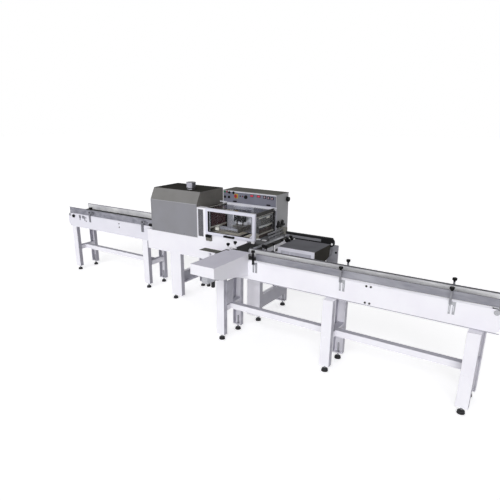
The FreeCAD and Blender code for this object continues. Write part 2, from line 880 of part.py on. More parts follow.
def guard_handle():
    """Black pull handle under the front frame's lower tube."""
    x = guard_left + guard_width * handle_place - handle_length / 2
    y1 = guard_front
    y0 = y1 - handle_reach
    z0 = guard_bottom + handle_lift
    grip = box(x, x + handle_length, y0, y0 + handle_bar, z0, z0 + handle_bar)
    grip = grip.makeFillet(handle_bar * 0.4, edges_along(grip, (1, 0, 0)))
    posts = []
    for px in (x + handle_lift, x + handle_length - handle_lift - handle_bar):
        posts.append(box(px, px + handle_bar, y0 + handle_bar / 2, y1, z0 + handle_thin,
                         z0 + handle_bar - handle_thin))
    return fuse([grip] + posts)


def guard_hinges():
    """Fixed lugs on the cabinet's face, each with the pin that enters the guard's bar."""
    lugs = []
    for x_face, side in ((guard_left, -1), (guard_right, 1)):
        x_near = x_face + side * hinge_side_gap
        x_far = x_near + side * hinge_lug
        low, high = sorted((x_near, x_far))
        ear = rod(hinge_bar_radius, (low, hinge_y, hinge_z), (1, 0, 0), hinge_lug)
        arm = box(low, high, hinge_y, cabinet_front - panel_thick - ledge_proud,
                  hinge_z - hinge_bar_radius, hinge_z + hinge_bar_radius)
        pin_start = (x_far, hinge_y, hinge_z)
        pin = rod(hinge_pin_radius, pin_start, (-side, 0, 0), hinge_lug + hinge_side_gap + hinge_pin_in)
        lugs.append(fuse([ear, arm, pin]))
    return group(lugs)


def latch_block(y0, z0, z1):
    x0 = guard_left - latch_inset
    block = box(x0, x0 + latch_width, y0, frame_front, z0, z1)
    return block.makeFillet(sheet, edges_along(block, (0, 0, 1), lambda p: abs(p.y - y0) < 0.1))


def guard_latch():
    """Latch on the skirt and sill where the guard closes, its cap a little proud of its body."""
    top = guard_bottom - latch_clear
    body = latch_block(frame_front - latch_depth, top - latch_height, top - latch_cap)
    cap = latch_block(frame_front - latch_depth - sheet, top - latch_cap, top)
    return fuse([body, cap])


def control_cabinet():
    """Closed cabinet with a slightly overhanging roof and a recess for the panel."""
    y1 = cabinet_front + cabinet_depth
    body = box(cabinet_left, cabinet_right, cabinet_front, y1, deck_top, cabinet_top - cabinet_roof)
    body = body.makeFillet(sheet, edges_along(body, (0, 0, 1)))
    roof = box(cabinet_left - sheet, cabinet_right + sheet, cabinet_front - panel_thick - sheet, y1 + sheet,
               cabinet_top - cabinet_roof, cabinet_top)
    roof = roof.makeFillet(cabinet_round, edges_along(roof, (0, 0, 1)))
    return fuse([body, roof])


def control_panel():
    """Light fascia with a folded ledge along its foot."""
    y0 = cabinet_front - panel_thick
    plate = box(cabinet_left, cabinet_right, y0, cabinet_front, panel_bottom, cabinet_top - cabinet_roof)
    ledge = box(cabinet_left, cabinet_right, y0 - ledge_proud, cabinet_front,
                panel_bottom - ledge_height, panel_bottom)
    return fuse([plate, ledge])


def panel_controls():
    """Lamps, push buttons, displays, the main switch and two grips on the fascia."""
    y0 = cabinet_front - panel_thick
    pieces = []

    def button(along, rise, radius, proud):
        pieces.append(rod(radius, (cabinet_left + along, y0, panel_bottom + rise), (0, -1, 0), proud))

    def block(along, rise, width, height, proud):
        x = cabinet_left + along
        z = panel_bottom + rise
        pieces.append(box(x - width / 2, x + width / 2, y0 - proud, y0, z - height / 2, z + height / 2))

    for column, row in ((0, 1), (1, 1), (2, 1), (4, 1), (0, 0), (2, 0)):
        button(button_first + button_pitch * column, button_low + button_rows * row,
               button_radius, button_proud)
    block(switch_along, instrument_row, switch_plate, switch_plate, sheet)
    button(selector_along - selector_gap, instrument_row, button_radius * 0.8, button_proud)
    button(selector_along, instrument_row, button_radius * 1.7, button_proud * 1.4)
    for k in range(2):
        block(display_along + display_pitch * k, display_row, display_width, display_height, sheet)
    for k in range(4):
        button(dial_along + dial_pitch * k, display_row, button_radius * 1.2, button_proud * 0.6)
    for along in (grip_along, cabinet_width - grip_along * 0.7):
        block(along, grip_row, grip_width, grip_height, button_proud)
    return group(pieces)


def cabinet_lever():
    """Black clamp with two prongs low on the cabinet's side."""
    y = cabinet_front + lever_back
    hub = rod(lever_hub, (cabinet_right, y, lever_level), (1, 0, 0), lever_reach)
    x1 = cabinet_right + lever_reach
    x0 = x1 - lever_thick
    bar = box(x0, x1, y - lever_wing, y + lever_wing, lever_level - lever_thick, lever_level + lever_thick)
    pieces = [hub, bar]
    for y_prong in (y - lever_wing * lever_prong_near, y + lever_wing * lever_prong_far):
        pieces.append(box(x0, x1, y_prong, y_prong + lever_thick, lever_level, lever_level + lever_rise))
    return fuse(pieces)


def cabinet_knobs():
    """Hand wheel high on the cabinet's side, and the clamp below it."""
    y = cabinet_front + wheel_back
    wheel = rod(wheel_radius, (cabinet_right, y, cabinet_top - wheel_drop), (1, 0, 0), wheel_thick)
    outer = [e for e in wheel.Edges if abs(e.CenterOfMass.x - cabinet_right - wheel_thick) < 0.1]
    return group([wheel.makeFillet(wheel_thick * 0.15, outer), cabinet_lever()])


def jaw_outline(z0, z1):
    """L-shaped bar: long side along the belt's front, short side across its infeed end."""
    long_side = box(jaw_x, jaw_end, jaw_front, jaw_front + jaw_thick, z0, z1)
    short_side = box(jaw_end - jaw_thick, jaw_end, jaw_front, jaw_front + jaw_thick + jaw_reach, z0, z1)
    return fuse([long_side, short_side])


def jaw_rods():
    """X places of the two lift rods, and their Y."""
    first = yoke_left + cylinder_width / 2 + sheet
    return (first, first + cylinder_pitch), yoke_back + yoke_depth / 2


def seal_head():
    """Moving upper jaw: the L, a yoke plate beside its short side, and the lift rods."""
    z0 = belt_level + jaw_lift
    z1 = z0 + jaw_height
    jaw = jaw_outline(z0, z1)
    end_block = box(jaw_x, jaw_x + jaw_block_length, jaw_front - jaw_block_proud, jaw_front,
                    z0, z0 + jaw_block_height)
    yoke = box(yoke_left, jaw_end, yoke_back, yoke_back + yoke_depth, z1 - yoke_thick, z1)
    xs, y = jaw_rods()
    length = bridge_bottom - jaw_rod_end - z1 + 1
    rods = [rod(jaw_rod_radius, (x, y, z1 - 1), (0, 0, 1), length) for x in xs]
    return fuse([jaw, end_block, yoke] + rods)


def seal_lower_jaw():
    """Fixed lower jaw on the deck."""
    return jaw_outline(deck_top, belt_level)


def seal_bridge():
    """Ribbed bracket on the cabinet's front that carries the lift cylinders."""
    y0 = cabinet_front - bridge_reach
    y_back = cabinet_front - bridge_thick
    top = bridge_bottom + bridge_thick
    pieces = [box(yoke_left, jaw_end, y0, cabinet_front, bridge_bottom, top),
              box(yoke_left, jaw_end, y_back, cabinet_front, bridge_foot, bridge_bottom)]
    for x in (yoke_left, jaw_end - bridge_rib_thick):
        rib = [(x, y_back + 1, bridge_bottom + 1), (x, y_back - bridge_rib, bridge_bottom + 1),
               (x, y_back + 1, bridge_bottom - bridge_rib)]
        pieces.append(extrude(rib, (bridge_rib_thick, 0, 0)))
    return fuse(pieces)


def seal_cylinders():
    """Lift cylinders under the bracket, bored from below for the rods."""
    z0 = bridge_bottom - cylinder_height
    half = cylinder_width / 2
    xs, y = jaw_rods()
    blocks = []
    for x in xs:
        body = box(x - half, x + half, y - half, y + half, z0, bridge_bottom)
        body = body.makeFillet(cylinder_round, edges_along(body, (0, 0, 1)))
        bore = rod(jaw_rod_radius + running_gap, (x, y, z0 - 1), (0, 0, 1),
                   cylinder_height - cylinder_head + 1)
        blocks.append(body.cut(bore))
    return group(blocks)


def transfer_belt():
    return belt_loop(transfer_left, transfer_right, transfer_front + 1.0, transfer_back, belt_level,
                     belt_roller, along_x=False)


def transfer_bed():
    """Rollers and bed inside the transfer belt, with cheek plates down to the deck."""
    y0 = transfer_front + 1.0
    core = belt_core(transfer_left, transfer_right, y0, transfer_back, belt_level, belt_roller,
                     along_x=False)
    axis_z = belt_level - belt_roller - belt_thick
    cheeks = []
    for x in (transfer_left - cheek_thick, transfer_right):
        cheeks.append(box(x, x + cheek_thick, transfer_front, transfer_back - cheek_inset, deck_top,
                          axis_z + belt_roller * cheek_rise))
    return fuse([core] + cheeks)


def film_rail():
    """Light rail along the transfer belt's outer side."""
    x0 = transfer_right + rail_from_belt
    z0 = deck_top + rail_rise
    return box(x0, x0 + rail_width, transfer_front, film_plate_front, z0, z0 + rail_height)


def film_rollers():
    """Cantilever film rollers on an upright plate behind the transfer belt."""
    y1 = film_plate_front
    x0 = cabinet_right + film_plate_left
    plate = box(x0, frame_right + film_plate_beyond, y1, y1 + film_plate_thick, deck_top, film_plate_top)
    foot = box(x0, frame_right, y1, y1 + film_plate_foot * 6, deck_top, deck_top + film_plate_foot)
    pieces = [plate, foot]
    for k in range(film_roller_count):
        x = frame_right + film_roller_radius * k
        z = film_plate_top - film_roller_drop - film_roller_pitch * k
        start = (x, y1 - film_roller_length, z)
        pieces.append(rod(film_roller_radius, start, (0, 1, 0), film_roller_length))
    return fuse(pieces)


def film_deflector():
    """Plate with two rollers on the cabinet's front, where the film turns in inside the guard."""
    x0 = guard_right - deflector_from_right
    y0 = cabinet_front - deflector_depth
    outline = [(x0, cabinet_front, deflector_bottom), (x0, cabinet_front, deflector_top),
               (x0, y0, deflector_top), (x0, y0, deflector_bottom + deflector_cut),
               (x0, y0 + deflector_cut, deflector_bottom)]
    pieces = [extrude(outline, (deflector_thick, 0, 0))]
    for k in range(2):
        z = deflector_top - deflector_roller_drop - deflector_roller_pitch * k
        start = (x0 + deflector_thick + deflector_roller * 0.8, cabinet_front - deflector_roller_length, z)
        pieces.append(rod(deflector_roller, start, (0, 1, 0), deflector_roller_length))
    return fuse(pieces)


def film_cradle():
    """Closed housing over the film reel, its rear leaning in and its lower rear cut back."""
    x0 = cradle_left
    y0 = cradle_front
    y1 = y0 + cradle_depth
    low = cradle_top - cradle_height
    points = [(x0, y0, low), (x0, y0, cradle_top), (x0, y1, cradle_top),
              (x0, y1 - cradle_taper, cradle_top - cradle_step),
              (x0, y1 - cradle_knee, low + cradle_knee_rise), (x0, y1 - 2 * cradle_knee, low)]
    return extrude(points, (cradle_length, 0, 0))


def cradle_arms():
    """Two arms from the sealing frame that carry the film cradle and the film guide."""
    top = cradle_top - cradle_height
    arms = []
    for step in (cradle_arm_front, cradle_arm_back):
        y0 = cradle_front + step
        arm = box(frame_right, cradle_right, y0, y0 + cradle_arm, top - cradle_arm, top)
        post = box(guide_bar_left, guide_bar_left + guide_bar_width, y0, y0 + guide_bar_post,
                   top, guide_bar_bottom)
        arms.append(fuse([arm, post]))
    return group(arms)


def cradle_end_plate():
    """Upright end plate behind the cradle with a sloping wing, and the lug that carries it."""
    y0 = end_plate_front
    rear = cradle_front + cradle_depth
    x0 = end_plate_left
    x1 = x0 + end_plate_width
    wing = x0 - end_plate_wing
    slope_low = end_plate_bottom + end_plate_foot
    outline = [(x1, y0, end_plate_bottom), (x1, y0, end_plate_top), (x0, y0, end_plate_top),
               (x0, y0, end_plate_top - end_plate_shoulder), (wing, y0, slope_low),
               (wing, y0, end_plate_bottom)]
    plate = extrude(outline, (0, end_plate_thick, 0))
    bore = rod(end_plate_bore, (x1 - end_plate_bore_inset, y0 - 1, end_plate_top - end_plate_bore_drop),
               (0, 1, 0), end_plate_thick + 2)
    lug_top = end_plate_top - end_plate_lug_drop
    lug = box(x0, cradle_right, rear - cradle_taper, y0, lug_top - cradle_arm, lug_top)
    lug = lug.cut(film_cradle())
    return fuse([plate.cut(bore), lug])


def film_bar():
    """Film bar on a long plate over the end plate, with a hook in front of the plates at its right end."""
    y0 = end_plate_front
    x1 = cradle_right
    back = box(back_plate_left, x1 + rail_from_belt, y0, y0 + end_plate_thick, end_plate_top, back_plate_top)
    bar = box(back_plate_left, x1, y0 - film_bar_size / 2, y0 + film_bar_size / 2, back_plate_top,
              back_plate_top + film_bar_size)
    upper_edges = edges_along(bar, (1, 0, 0), lambda p: p.z > back_plate_top + 1)
    bar = bar.makeFillet(film_bar_size * 0.3, upper_edges)
    return fuse([back, bar, film_hook(x1 - film_hook_radius / 2, y0 - end_plate_thick)])


def film_hook(x, y):
    """Flat ring under the bar's end, open towards the cradle."""
    z = back_plate_top + film_bar_size - film_hook_radius
    inner = film_hook_radius - film_hook_thick
    ring = rod(film_hook_radius, (x, y, z), (0, 1, 0), end_plate_thick)
    ring = ring.cut(rod(inner, (x, y - 1, z), (0, 1, 0), end_plate_thick + 2))
    return ring.cut(box(x - film_hook_radius - 1, x - film_hook_thick / 2, y - 1, y + end_plate_thick + 1,
                        z - film_hook_radius - 1, z + inner))


def film_guide():
    """Cross bar beside the cradle with its clamp posts."""
    top = guide_bar_bottom + guide_bar_height
    x0 = guide_bar_left
    bar = box(x0, x0 + guide_bar_width, guide_bar_front, guide_bar_back, guide_bar_bottom, top)
    pieces = [bar]
    for y, head in film_clamps():
        foot = (x0 + guide_bar_width / 2, y, top - 1)
        pieces.append(rod(film_post_radius, foot, (0, 0, 1), head - top + 1))
    return fuse(pieces)


def film_clamps():
    """Y and knob level of each clamp on the film guide: tall ones, and two short ones between."""
    top = guide_bar_bottom + guide_bar_height
    span = guide_bar_back - guide_bar_front
    tall = [(guide_bar_front + span * share, top + clamp_tall) for share in (0.03, 0.29, 0.57, 0.91)]
    short = [(guide_bar_front + span * share, top + clamp_short) for share in (0.77, 0.96)]
    return tall + short


def pusher_side():
    """Side of the pusher cover: shallow at the nose and deeper towards the conveyor."""
    y0 = pusher_front
    y1 = infeed_front
    top = pusher_top
    return [(y0, top), (y0, top - pusher_nose), (y0 + pusher_step, top - pusher_nose - pusher_step_drop),
            (y1, top - pusher_rear_drop), (y1, top)]


def pusher_cover():
    """Folded cover over the pusher, open below and towards the belt."""
    outer = extrude([(pusher_left, y, z) for y, z in pusher_side()], (pusher_width, 0, 0))
    outer = outer.makeFillet(pusher_round, edges_along(outer, (0, 1, 0), lambda p: p.z > pusher_top - 0.1))
    y0 = pusher_front + sheet
    y1 = infeed_front + 1
    hollow = box(pusher_left + sheet, pusher_left + pusher_width - sheet, y0, y1, 0, pusher_top - sheet)
    lip = box(pusher_left + pusher_lip_inset, pusher_left + pusher_width - pusher_round, infeed_front - 1,
              infeed_front + pusher_lip, pusher_top - sheet, pusher_top)
    return fuse([outer.cut(hollow), lip])


def pusher_drive():
    """Drive bar under the cover, carried by the infeed beam, with the plate of the air unit."""
    z0 = drive_top - drive_height
    bar = box(drive_left, drive_left + drive_width, drive_front, infeed_front, z0, drive_top)
    plate = box(drive_plate_left, drive_plate_left + drive_plate_width, drive_plate_y,
                drive_plate_y + drive_plate_depth, z0 - drive_plate_thick, z0)
    return fuse([bar, plate])


def air_unit():
    """Filter and regulator bowls under the drive's plate."""
    z1 = drive_top - drive_height - drive_plate_thick
    y = drive_plate_y + drive_plate_depth / 2
    bowls = []
    for k in range(2):
        x = drive_plate_left + bowl_inset + bowl_pitch * k
        bowl = rod(bowl_radius, (x, y, z1 - bowl_length), (0, 0, 1), bowl_length)
        low = [e for e in bowl.Edges if abs(e.CenterOfMass.z - z1 + bowl_length) < 0.1]
        bowls.append(bowl.makeFillet(bowl_radius * 0.5, low))
    return group(bowls)


def infeed_stop():
    """Slim plate beyond the infeed's end, on a post and an arm under the beam, and the shelf behind."""
    bottom = infeed_top - beam_height
    x_strap = infeed_start + beam_end_round
    inner = infeed_width / 2 - beam_sheet
    strap = box(x_strap, x_strap + strap_width, infeed_centre - inner, infeed_centre + inner,
                bottom - end_plate_thick, bottom)
    y = nose_front + nose_depth / 2
    arm = box(nose_left + nose_arm_inset, x_strap + 1, y - nose_arm_width / 2, y + nose_arm_width / 2,
              bottom - end_plate_thick, bottom)
    post = rod(nose_post_radius, (nose_left + nose_post_inset, y, bottom - 1), (0, 0, 1),
               nose_top - nose_thick - bottom + 2)
    plate = box(nose_left, infeed_start - sheet, nose_front, nose_front + nose_depth,
                nose_top - nose_thick, nose_top)
    return group([fuse([strap, arm, post, plate]), infeed_shelf()])


def shelf_posts():
    """X, foot and knob level of the two clamps behind the infeed's end."""
    low = shelf_level + shelf_thick
    high = belt_level + shelf_depth / 2 + shelf_thick
    return ((shelf_left + shelf_clamp_near, low, low + shelf_clamp_low),
            (shelf_left + shelf_clamp_far, high, high + shelf_clamp_high))


def infeed_shelf():
    """Shelf on the infeed beam's rear face with two coned clamp posts, one on an arm."""
    y0 = transfer_front
    y = y0 + shelf_depth / 2
    near = y - cone_radius / 2
    far = y + cone_radius / 2
    top = shelf_level + shelf_thick
    x_high, arm_top, head = shelf_posts()[1]
    x1 = shelf_left + shelf_length
    shelf = box(shelf_left, x1, y0, y0 + shelf_depth, shelf_level, top)
    upright = box(x1 - shelf_thick, x1, near, far, top - 1, arm_top)
    arm = box(x1 - shelf_thick, x_high + cone_radius, near, far, arm_top - shelf_thick, arm_top)
    pieces = [shelf, upright, arm]
    for x, base, head in shelf_posts():
        pieces.append(Part.makeCone(cone_radius, film_post_radius, cone_height, V(x, y, base - 1)))
        pieces.append(rod(film_post_radius, (x, y, base), (0, 0, 1), head - base))
    return fuse(pieces)


def conveyor_leg_pair(x, centre, top):
    """Front and rear channel legs of one pair."""
    x0 = x - conveyor_leg_width / 2
    half = conveyor_frame_depth / 2
    return [channel_leg(x0, conveyor_leg_width, centre - half, conveyor_leg_depth, 1, foot_height, top),
            channel_leg(x0, conveyor_leg_width, centre + half, conveyor_leg_depth, -1, foot_height, top)]


def leg_bracket():
    """Upright plate on the right side of the first front leg."""
    x0 = infeed_leg_first + conveyor_leg_width / 2
    return box(x0, x0 + leg_plate, leg_bracket_front, leg_bracket_back, leg_bracket_bottom, leg_bracket_top)


def infeed_leg_xs():
    return [infeed_leg_first + k * infeed_leg_pitch for k in range(infeed_bays + 1)]


def outfeed_leg_xs():
    return [outfeed_leg_last - outfeed_leg_pitch, outfeed_leg_last]


def infeed_end():
    return infeed_leg_xs()[-1] + infeed_beyond


def outfeed_end():
    return outfeed_leg_xs()[0] - outfeed_beyond


def conveyor_legs():
    """Leg pairs; the infeed's have head plates that run in under the narrower beam."""
    beam_bottom = infeed_top - beam_height
    legs = []
    for x in infeed_leg_xs():
        for leg, side in zip(conveyor_leg_pair(x, infeed_centre, beam_bottom), (-1, 1)):
            y_outer = infeed_centre + side * conveyor_frame_depth / 2
            y_inner = infeed_centre + side * (infeed_width / 2 - beam_flange)
            low, high = sorted((y_outer, y_inner))
            head = box(x - conveyor_leg_width / 2, x + conveyor_leg_width / 2, low, high,
                       beam_bottom - leg_plate, beam_bottom)
            legs.append(fuse([leg, head]))
    for x in outfeed_leg_xs():
        legs.extend(conveyor_leg_pair(x, outfeed_centre, outfeed_top - beam_height))
    return group(legs)


def conveyor_ties():
    """Tie bars between the webs of each leg pair, joined by long bars."""
    ties = []
    half = conveyor_frame_depth / 2 - sheet
    top = bar_bottom + bar_height
    for centre, places in ((infeed_centre, infeed_leg_xs()), (outfeed_centre, outfeed_leg_xs())):
        bars = []
        for x in places:
            bars.append(box(x - bar_width / 2, x + bar_width / 2, centre - half, centre + half,
                            bar_bottom, top))
        bars.append(box(places[0], places[-1], centre - bar_width / 2, centre + bar_width / 2,
                        bar_bottom, top))
        ties.append(fuse(bars))
    return group(ties)


def beam(x0, x1, centre, width, top, ends):
    """Conveyor beam: two side plates with foot flanges, joined by a hat-shaped belt bed.

    ends says, for the low and the high end, whether it is rounded and whether a roller turns there.
    """
    (round_low, roller_low), (round_high, roller_high) = ends
    bottom = top - beam_height
    plates = []
    for side in (-1, 1):
        y_outer = centre + side * width / 2
        y_inner = y_outer - side * beam_sheet
        low, high = sorted((y_outer, y_inner))
        plate = box(x0, x1, low, high, bottom, top)

        def end_corner(p):
            return (round_low and p.x < x0 + 1) or (round_high and p.x > x1 - 1)

        corners = edges_along(plate, (0, 1, 0), end_corner)
        if corners:
            plate = plate.makeFillet(beam_end_round, corners)
        plates.append(plate)
        y_flange = y_outer - side * beam_flange
        low, high = sorted((y_inner, y_flange))
        inset_low = beam_end_round if round_low else 0
        inset_high = beam_end_round if round_high else 0
        plates.append(box(x0 + inset_low, x1 - inset_high, low, high, bottom, bottom + beam_sheet))
    inset = 2 * end_roller_radius + bed_end_clear
    bed_x0 = x0 + (inset if roller_low else 0)
    bed_x1 = x1 - (inset if roller_high else 0)
    bed_top = top + belt_rise - belt_thick - seat_gap
    crown = width / 2 - beam_sheet - belt_side_gap
    inner = width / 2 - beam_sheet
    low = bed_top - bed_depth
    section = [(-inner, low), (inner, low), (inner, low + beam_sheet), (crown, low + beam_sheet),
               (crown, bed_top), (-crown, bed_top), (-crown, low + beam_sheet), (-inner, low + beam_sheet)]
    bed = extrude([(bed_x0, centre + y, z) for y, z in section], (bed_x1 - bed_x0, 0, 0))
    return fuse(plates + [bed])


def infeed_splice_x():
    return infeed_leg_xs()[1] + infeed_splice


def infeed_beam_inner():
    return beam(infeed_start, infeed_splice_x(), infeed_centre, infeed_width, infeed_top,
                ((True, True), (False, False)))


def infeed_beam_outer():
    return beam(infeed_splice_x(), infeed_end(), infeed_centre, infeed_width, infeed_top,
                ((False, False), (True, True)))


def outfeed_beam():
    return beam(outfeed_end(), frame_left, outfeed_centre, outfeed_width, outfeed_top,
                ((True, True), (False, True)))


def belt_ranges():
    """Each conveyor belt: ends in X, centre, width and level."""
    return ((infeed_start + belt_margin, infeed_end() - belt_margin, infeed_centre,
             infeed_width - 2 * (beam_sheet + belt_side_gap), infeed_top + belt_rise),
            (outfeed_end() + belt_margin, frame_left - belt_margin, outfeed_centre,
             outfeed_width - 2 * (beam_sheet + belt_side_gap), outfeed_top + belt_rise))


def conveyor_belts():
    loops = []
    for x0, x1, centre, width, top in belt_ranges():
        loops.append(belt_loop(x0, x1, centre - width / 2, centre + width / 2, top, end_roller_radius))
    return group(loops)


def end_rollers():
    """Drums at the belt ends, with journals to the beam's side plates and caps outside them."""
    drums = []
    for x0, x1, centre, width, top in belt_ranges():
        outer_r = end_roller_radius + belt_thick
        full = width + 2 * belt_side_gap
        for x in (x0 + outer_r, x1 - outer_r):
            drum = rod(end_roller_radius - seat_gap, (x, centre - width / 2, top - outer_r), (0, 1, 0),
                       width)
            journal = rod(journal_radius, (x, centre - full / 2, top - outer_r), (0, 1, 0), full)
            drums.append(fuse([drum, journal]))
    return group(drums + roller_caps())


def roller_caps():
    """Bearing caps on the beams' side plates, on the drums' axes."""
    caps = []
    for x0, x1, centre, width, top in belt_ranges():
        outer_r = end_roller_radius + belt_thick
        half = width / 2 + belt_side_gap + beam_sheet
        reach = x1 - outer_r if x1 > frame_left else None
        for x in (x0 + outer_r, reach):
            if x is not None:
                caps.append(rod(cap_radius, (x, centre - half, top - outer_r), (0, -1, 0), cap_thick))
                caps.append(rod(cap_radius, (x, centre + half, top - outer_r), (0, 1, 0), cap_thick))
    return caps


def guide(x0, x1, y, side, low, high):
    """A guide sheet with a small folded lip along its top."""
    y_low, y_high = sorted((y, y + side * guide_sheet))
    web = box(x0, x1, y_low, y_high, low, high)
    l_low, l_high = sorted((y, y + side * guide_lip))
    lip = box(x0, x1, l_low, l_high, high - guide_sheet, high)
    return fuse([web, lip])


def guide_lines():
    """Each guide: ends, Y of its lane face, outward side, foot and top."""
    in_low = infeed_top + guide_lift
    in_high = infeed_top + guide_rise
    out_low = outfeed_top + guide_lift
    out_high = outfeed_top + outfeed_rise
    in_front = infeed_front + infeed_lane_inset + guide_sheet
    in_end = infeed_end() - guide_margin
    out_start = outfeed_end() + guide_margin
    out_end = frame_left - belt_margin
    out_front = outfeed_front + outfeed_guide_inset + guide_sheet
    out_back = outfeed_back - outfeed_guide_inset - guide_sheet
    return ((infeed_guide_start, in_end, in_front, -1, in_low + belt_rise, infeed_top + infeed_front_rise),
            (infeed_guide_start - guide_lead, in_end, in_front + infeed_lane, 1, in_low + belt_rise,
             in_high),
            (out_start, out_end, out_front, -1, out_low, out_high),
            (out_start, out_end, out_back, 1, out_low, out_high))


def conveyor_guides():
    return group([guide(*line) for line in guide_lines()])


def post_places():
    """Infeed posts: X, the guide line they hold, the beam face they stand on and its side."""
    front, rear, out_f, out_r = guide_lines()
    places = []
    for k in range(post_count):
        x = post_first + k * post_pitch
        places.append((x, front, infeed_front, -1))
        places.append((x - 2 * post_width, rear, transfer_front, 1))
    return places


def guide_posts():
    """Square posts on the infeed beam, each with an arm to its guide."""
    posts = []
    for x, line, face, side in post_places():
        y_post = face + side * post_stand
        low, high = sorted((y_post - side * post_width / 2, y_post + side * post_width / 2))
        upright = box(x, x + post_width, low, high, infeed_top - post_below, infeed_top + post_above)
        y_guide = line[2] + line[3] * guide_sheet
        a_low, a_high = sorted((y_post, y_guide))
        z = infeed_top + arm_rise
        arm = box(x, x + post_width, a_low, a_high, z, z + arm_size)
        posts.append(fuse([upright, arm]))
    return group(posts)


def post_feet():
    """Slotted two-pronged clamp feet between the posts and the beam."""
    feet = []
    for x, line, face, side in post_places():
        low, high = sorted((face, face + side * prong_thick))
        width = 2 * post_width + prong_gap + prong_thick
        plate = box(x, x + width, low, high, infeed_top - prong_drop, infeed_top - prong_thick)
        notch = box(x + post_width, x + post_width + prong_gap, low - 1, high + 1,
                    infeed_top - prong_drop - 1, infeed_top - post_below - prong_thick)
        plate = plate.cut(notch)
        for start, foot in ((x, prong_drop), (x + post_width + prong_gap, prong_short)):
            middle = start + post_width / 2
            slot = box(middle - prong_slot / 2, middle + prong_slot / 2, low - 1, high + 1,
                       infeed_top - foot + prong_gap, infeed_top - post_below - prong_gap)
            plate = plate.cut(slot)
        feet.append(plate)
    return group(feet)


def side_brackets():
    """Flat brackets over the outfeed beam's edge to its guides, the tensioner's bars and the leg's plate."""
    front, rear, out_f, out_r = guide_lines()
    brackets = []
    top = outfeed_top + bracket_rise
    for x in bracket_places:
        for line, face, side in ((out_f, outfeed_front, -1), (out_r, outfeed_back, 1)):
            y_out = face + side * bracket_thick
            y_guide = line[2] + line[3] * guide_sheet
            low, high = sorted((face, y_out))
            tongue = box(x, x + bracket_width, low, high, outfeed_top - bracket_drop, top)
            a_low, a_high = sorted((y_out, y_guide))
            over = box(x, x + bracket_width, a_low, a_high, top, top + bracket_thick)
            wing = box(x + bracket_width, x + bracket_width + bracket_arm, low, high, top - post_width, top)
            brackets.append(fuse([tongue, over, wing]))
    return group(brackets + tension_bars() + [leg_bracket()])


def tension_bars():
    """Upright slotted bars of the belt tensioner on both sides of the outfeed beam."""
    bars = []
    for x in slot_bars:
        for face, side in ((outfeed_front, -1), (outfeed_back, 1)):
            low, high = sorted((face, face + side * prong_thick))
            bar = box(x, x + slot_bar_width, low, high, slot_bar_bottom, slot_bar_bottom + slot_bar_height)
            slot = box(x + slot_bar_width / 3, x + 2 * slot_bar_width / 3, low - 1, high + 1,
                       slot_bar_bottom + slot_bar_width, slot_bar_bottom + slot_bar_height - slot_bar_width)
            bars.append(bar.cut(slot))
    clamp = box(clamp_x, clamp_x + clamp_reach, outfeed_back, outfeed_back + clamp_reach,
                clamp_level, clamp_level + post_width)
    return bars + [clamp]


def clamp_knobs():
    """Clamping knobs on the infeed posts, the shelf, the film guide and the outfeed's rear clamp."""
    knobs = []
    for x, line, face, side in post_places():
        knobs.append(knob(x + post_width / 2, face + side * post_stand, infeed_top + post_above))
    for x, foot, head in shelf_posts():
        knobs.append(knob(x, transfer_front + shelf_depth / 2, head))
    x = guide_bar_left + guide_bar_width / 2
    for y, head in film_clamps():
        knobs.append(knob(x, y, head))
    half = clamp_reach / 2
    knobs.append(knob(clamp_x + half, outfeed_back + half, clamp_level + post_width))
    return group(knobs)


def foot_places():
    """Every levelling foot's centre."""
    places = [(foot_x, foot_y) for x0, y_face, back, foot_x, foot_y in main_leg_places()]
    offset = conveyor_frame_depth / 2 - conveyor_foot_inset
    for centre, xs in ((infeed_centre, infeed_leg_xs()), (outfeed_centre, outfeed_leg_xs())):
        for x in xs:
            places.append((x, centre - offset))
            places.append((x, centre + offset))
    return places


def foot_pads():
    return group([foot_pad(x, y) for x, y in foot_places()])


def foot_rods():
    rods = []
    for x, y in foot_places():
        rods.append(foot_rod(x, y))
        rods.append(foot_rod_top(x, y))
    return group(rods)


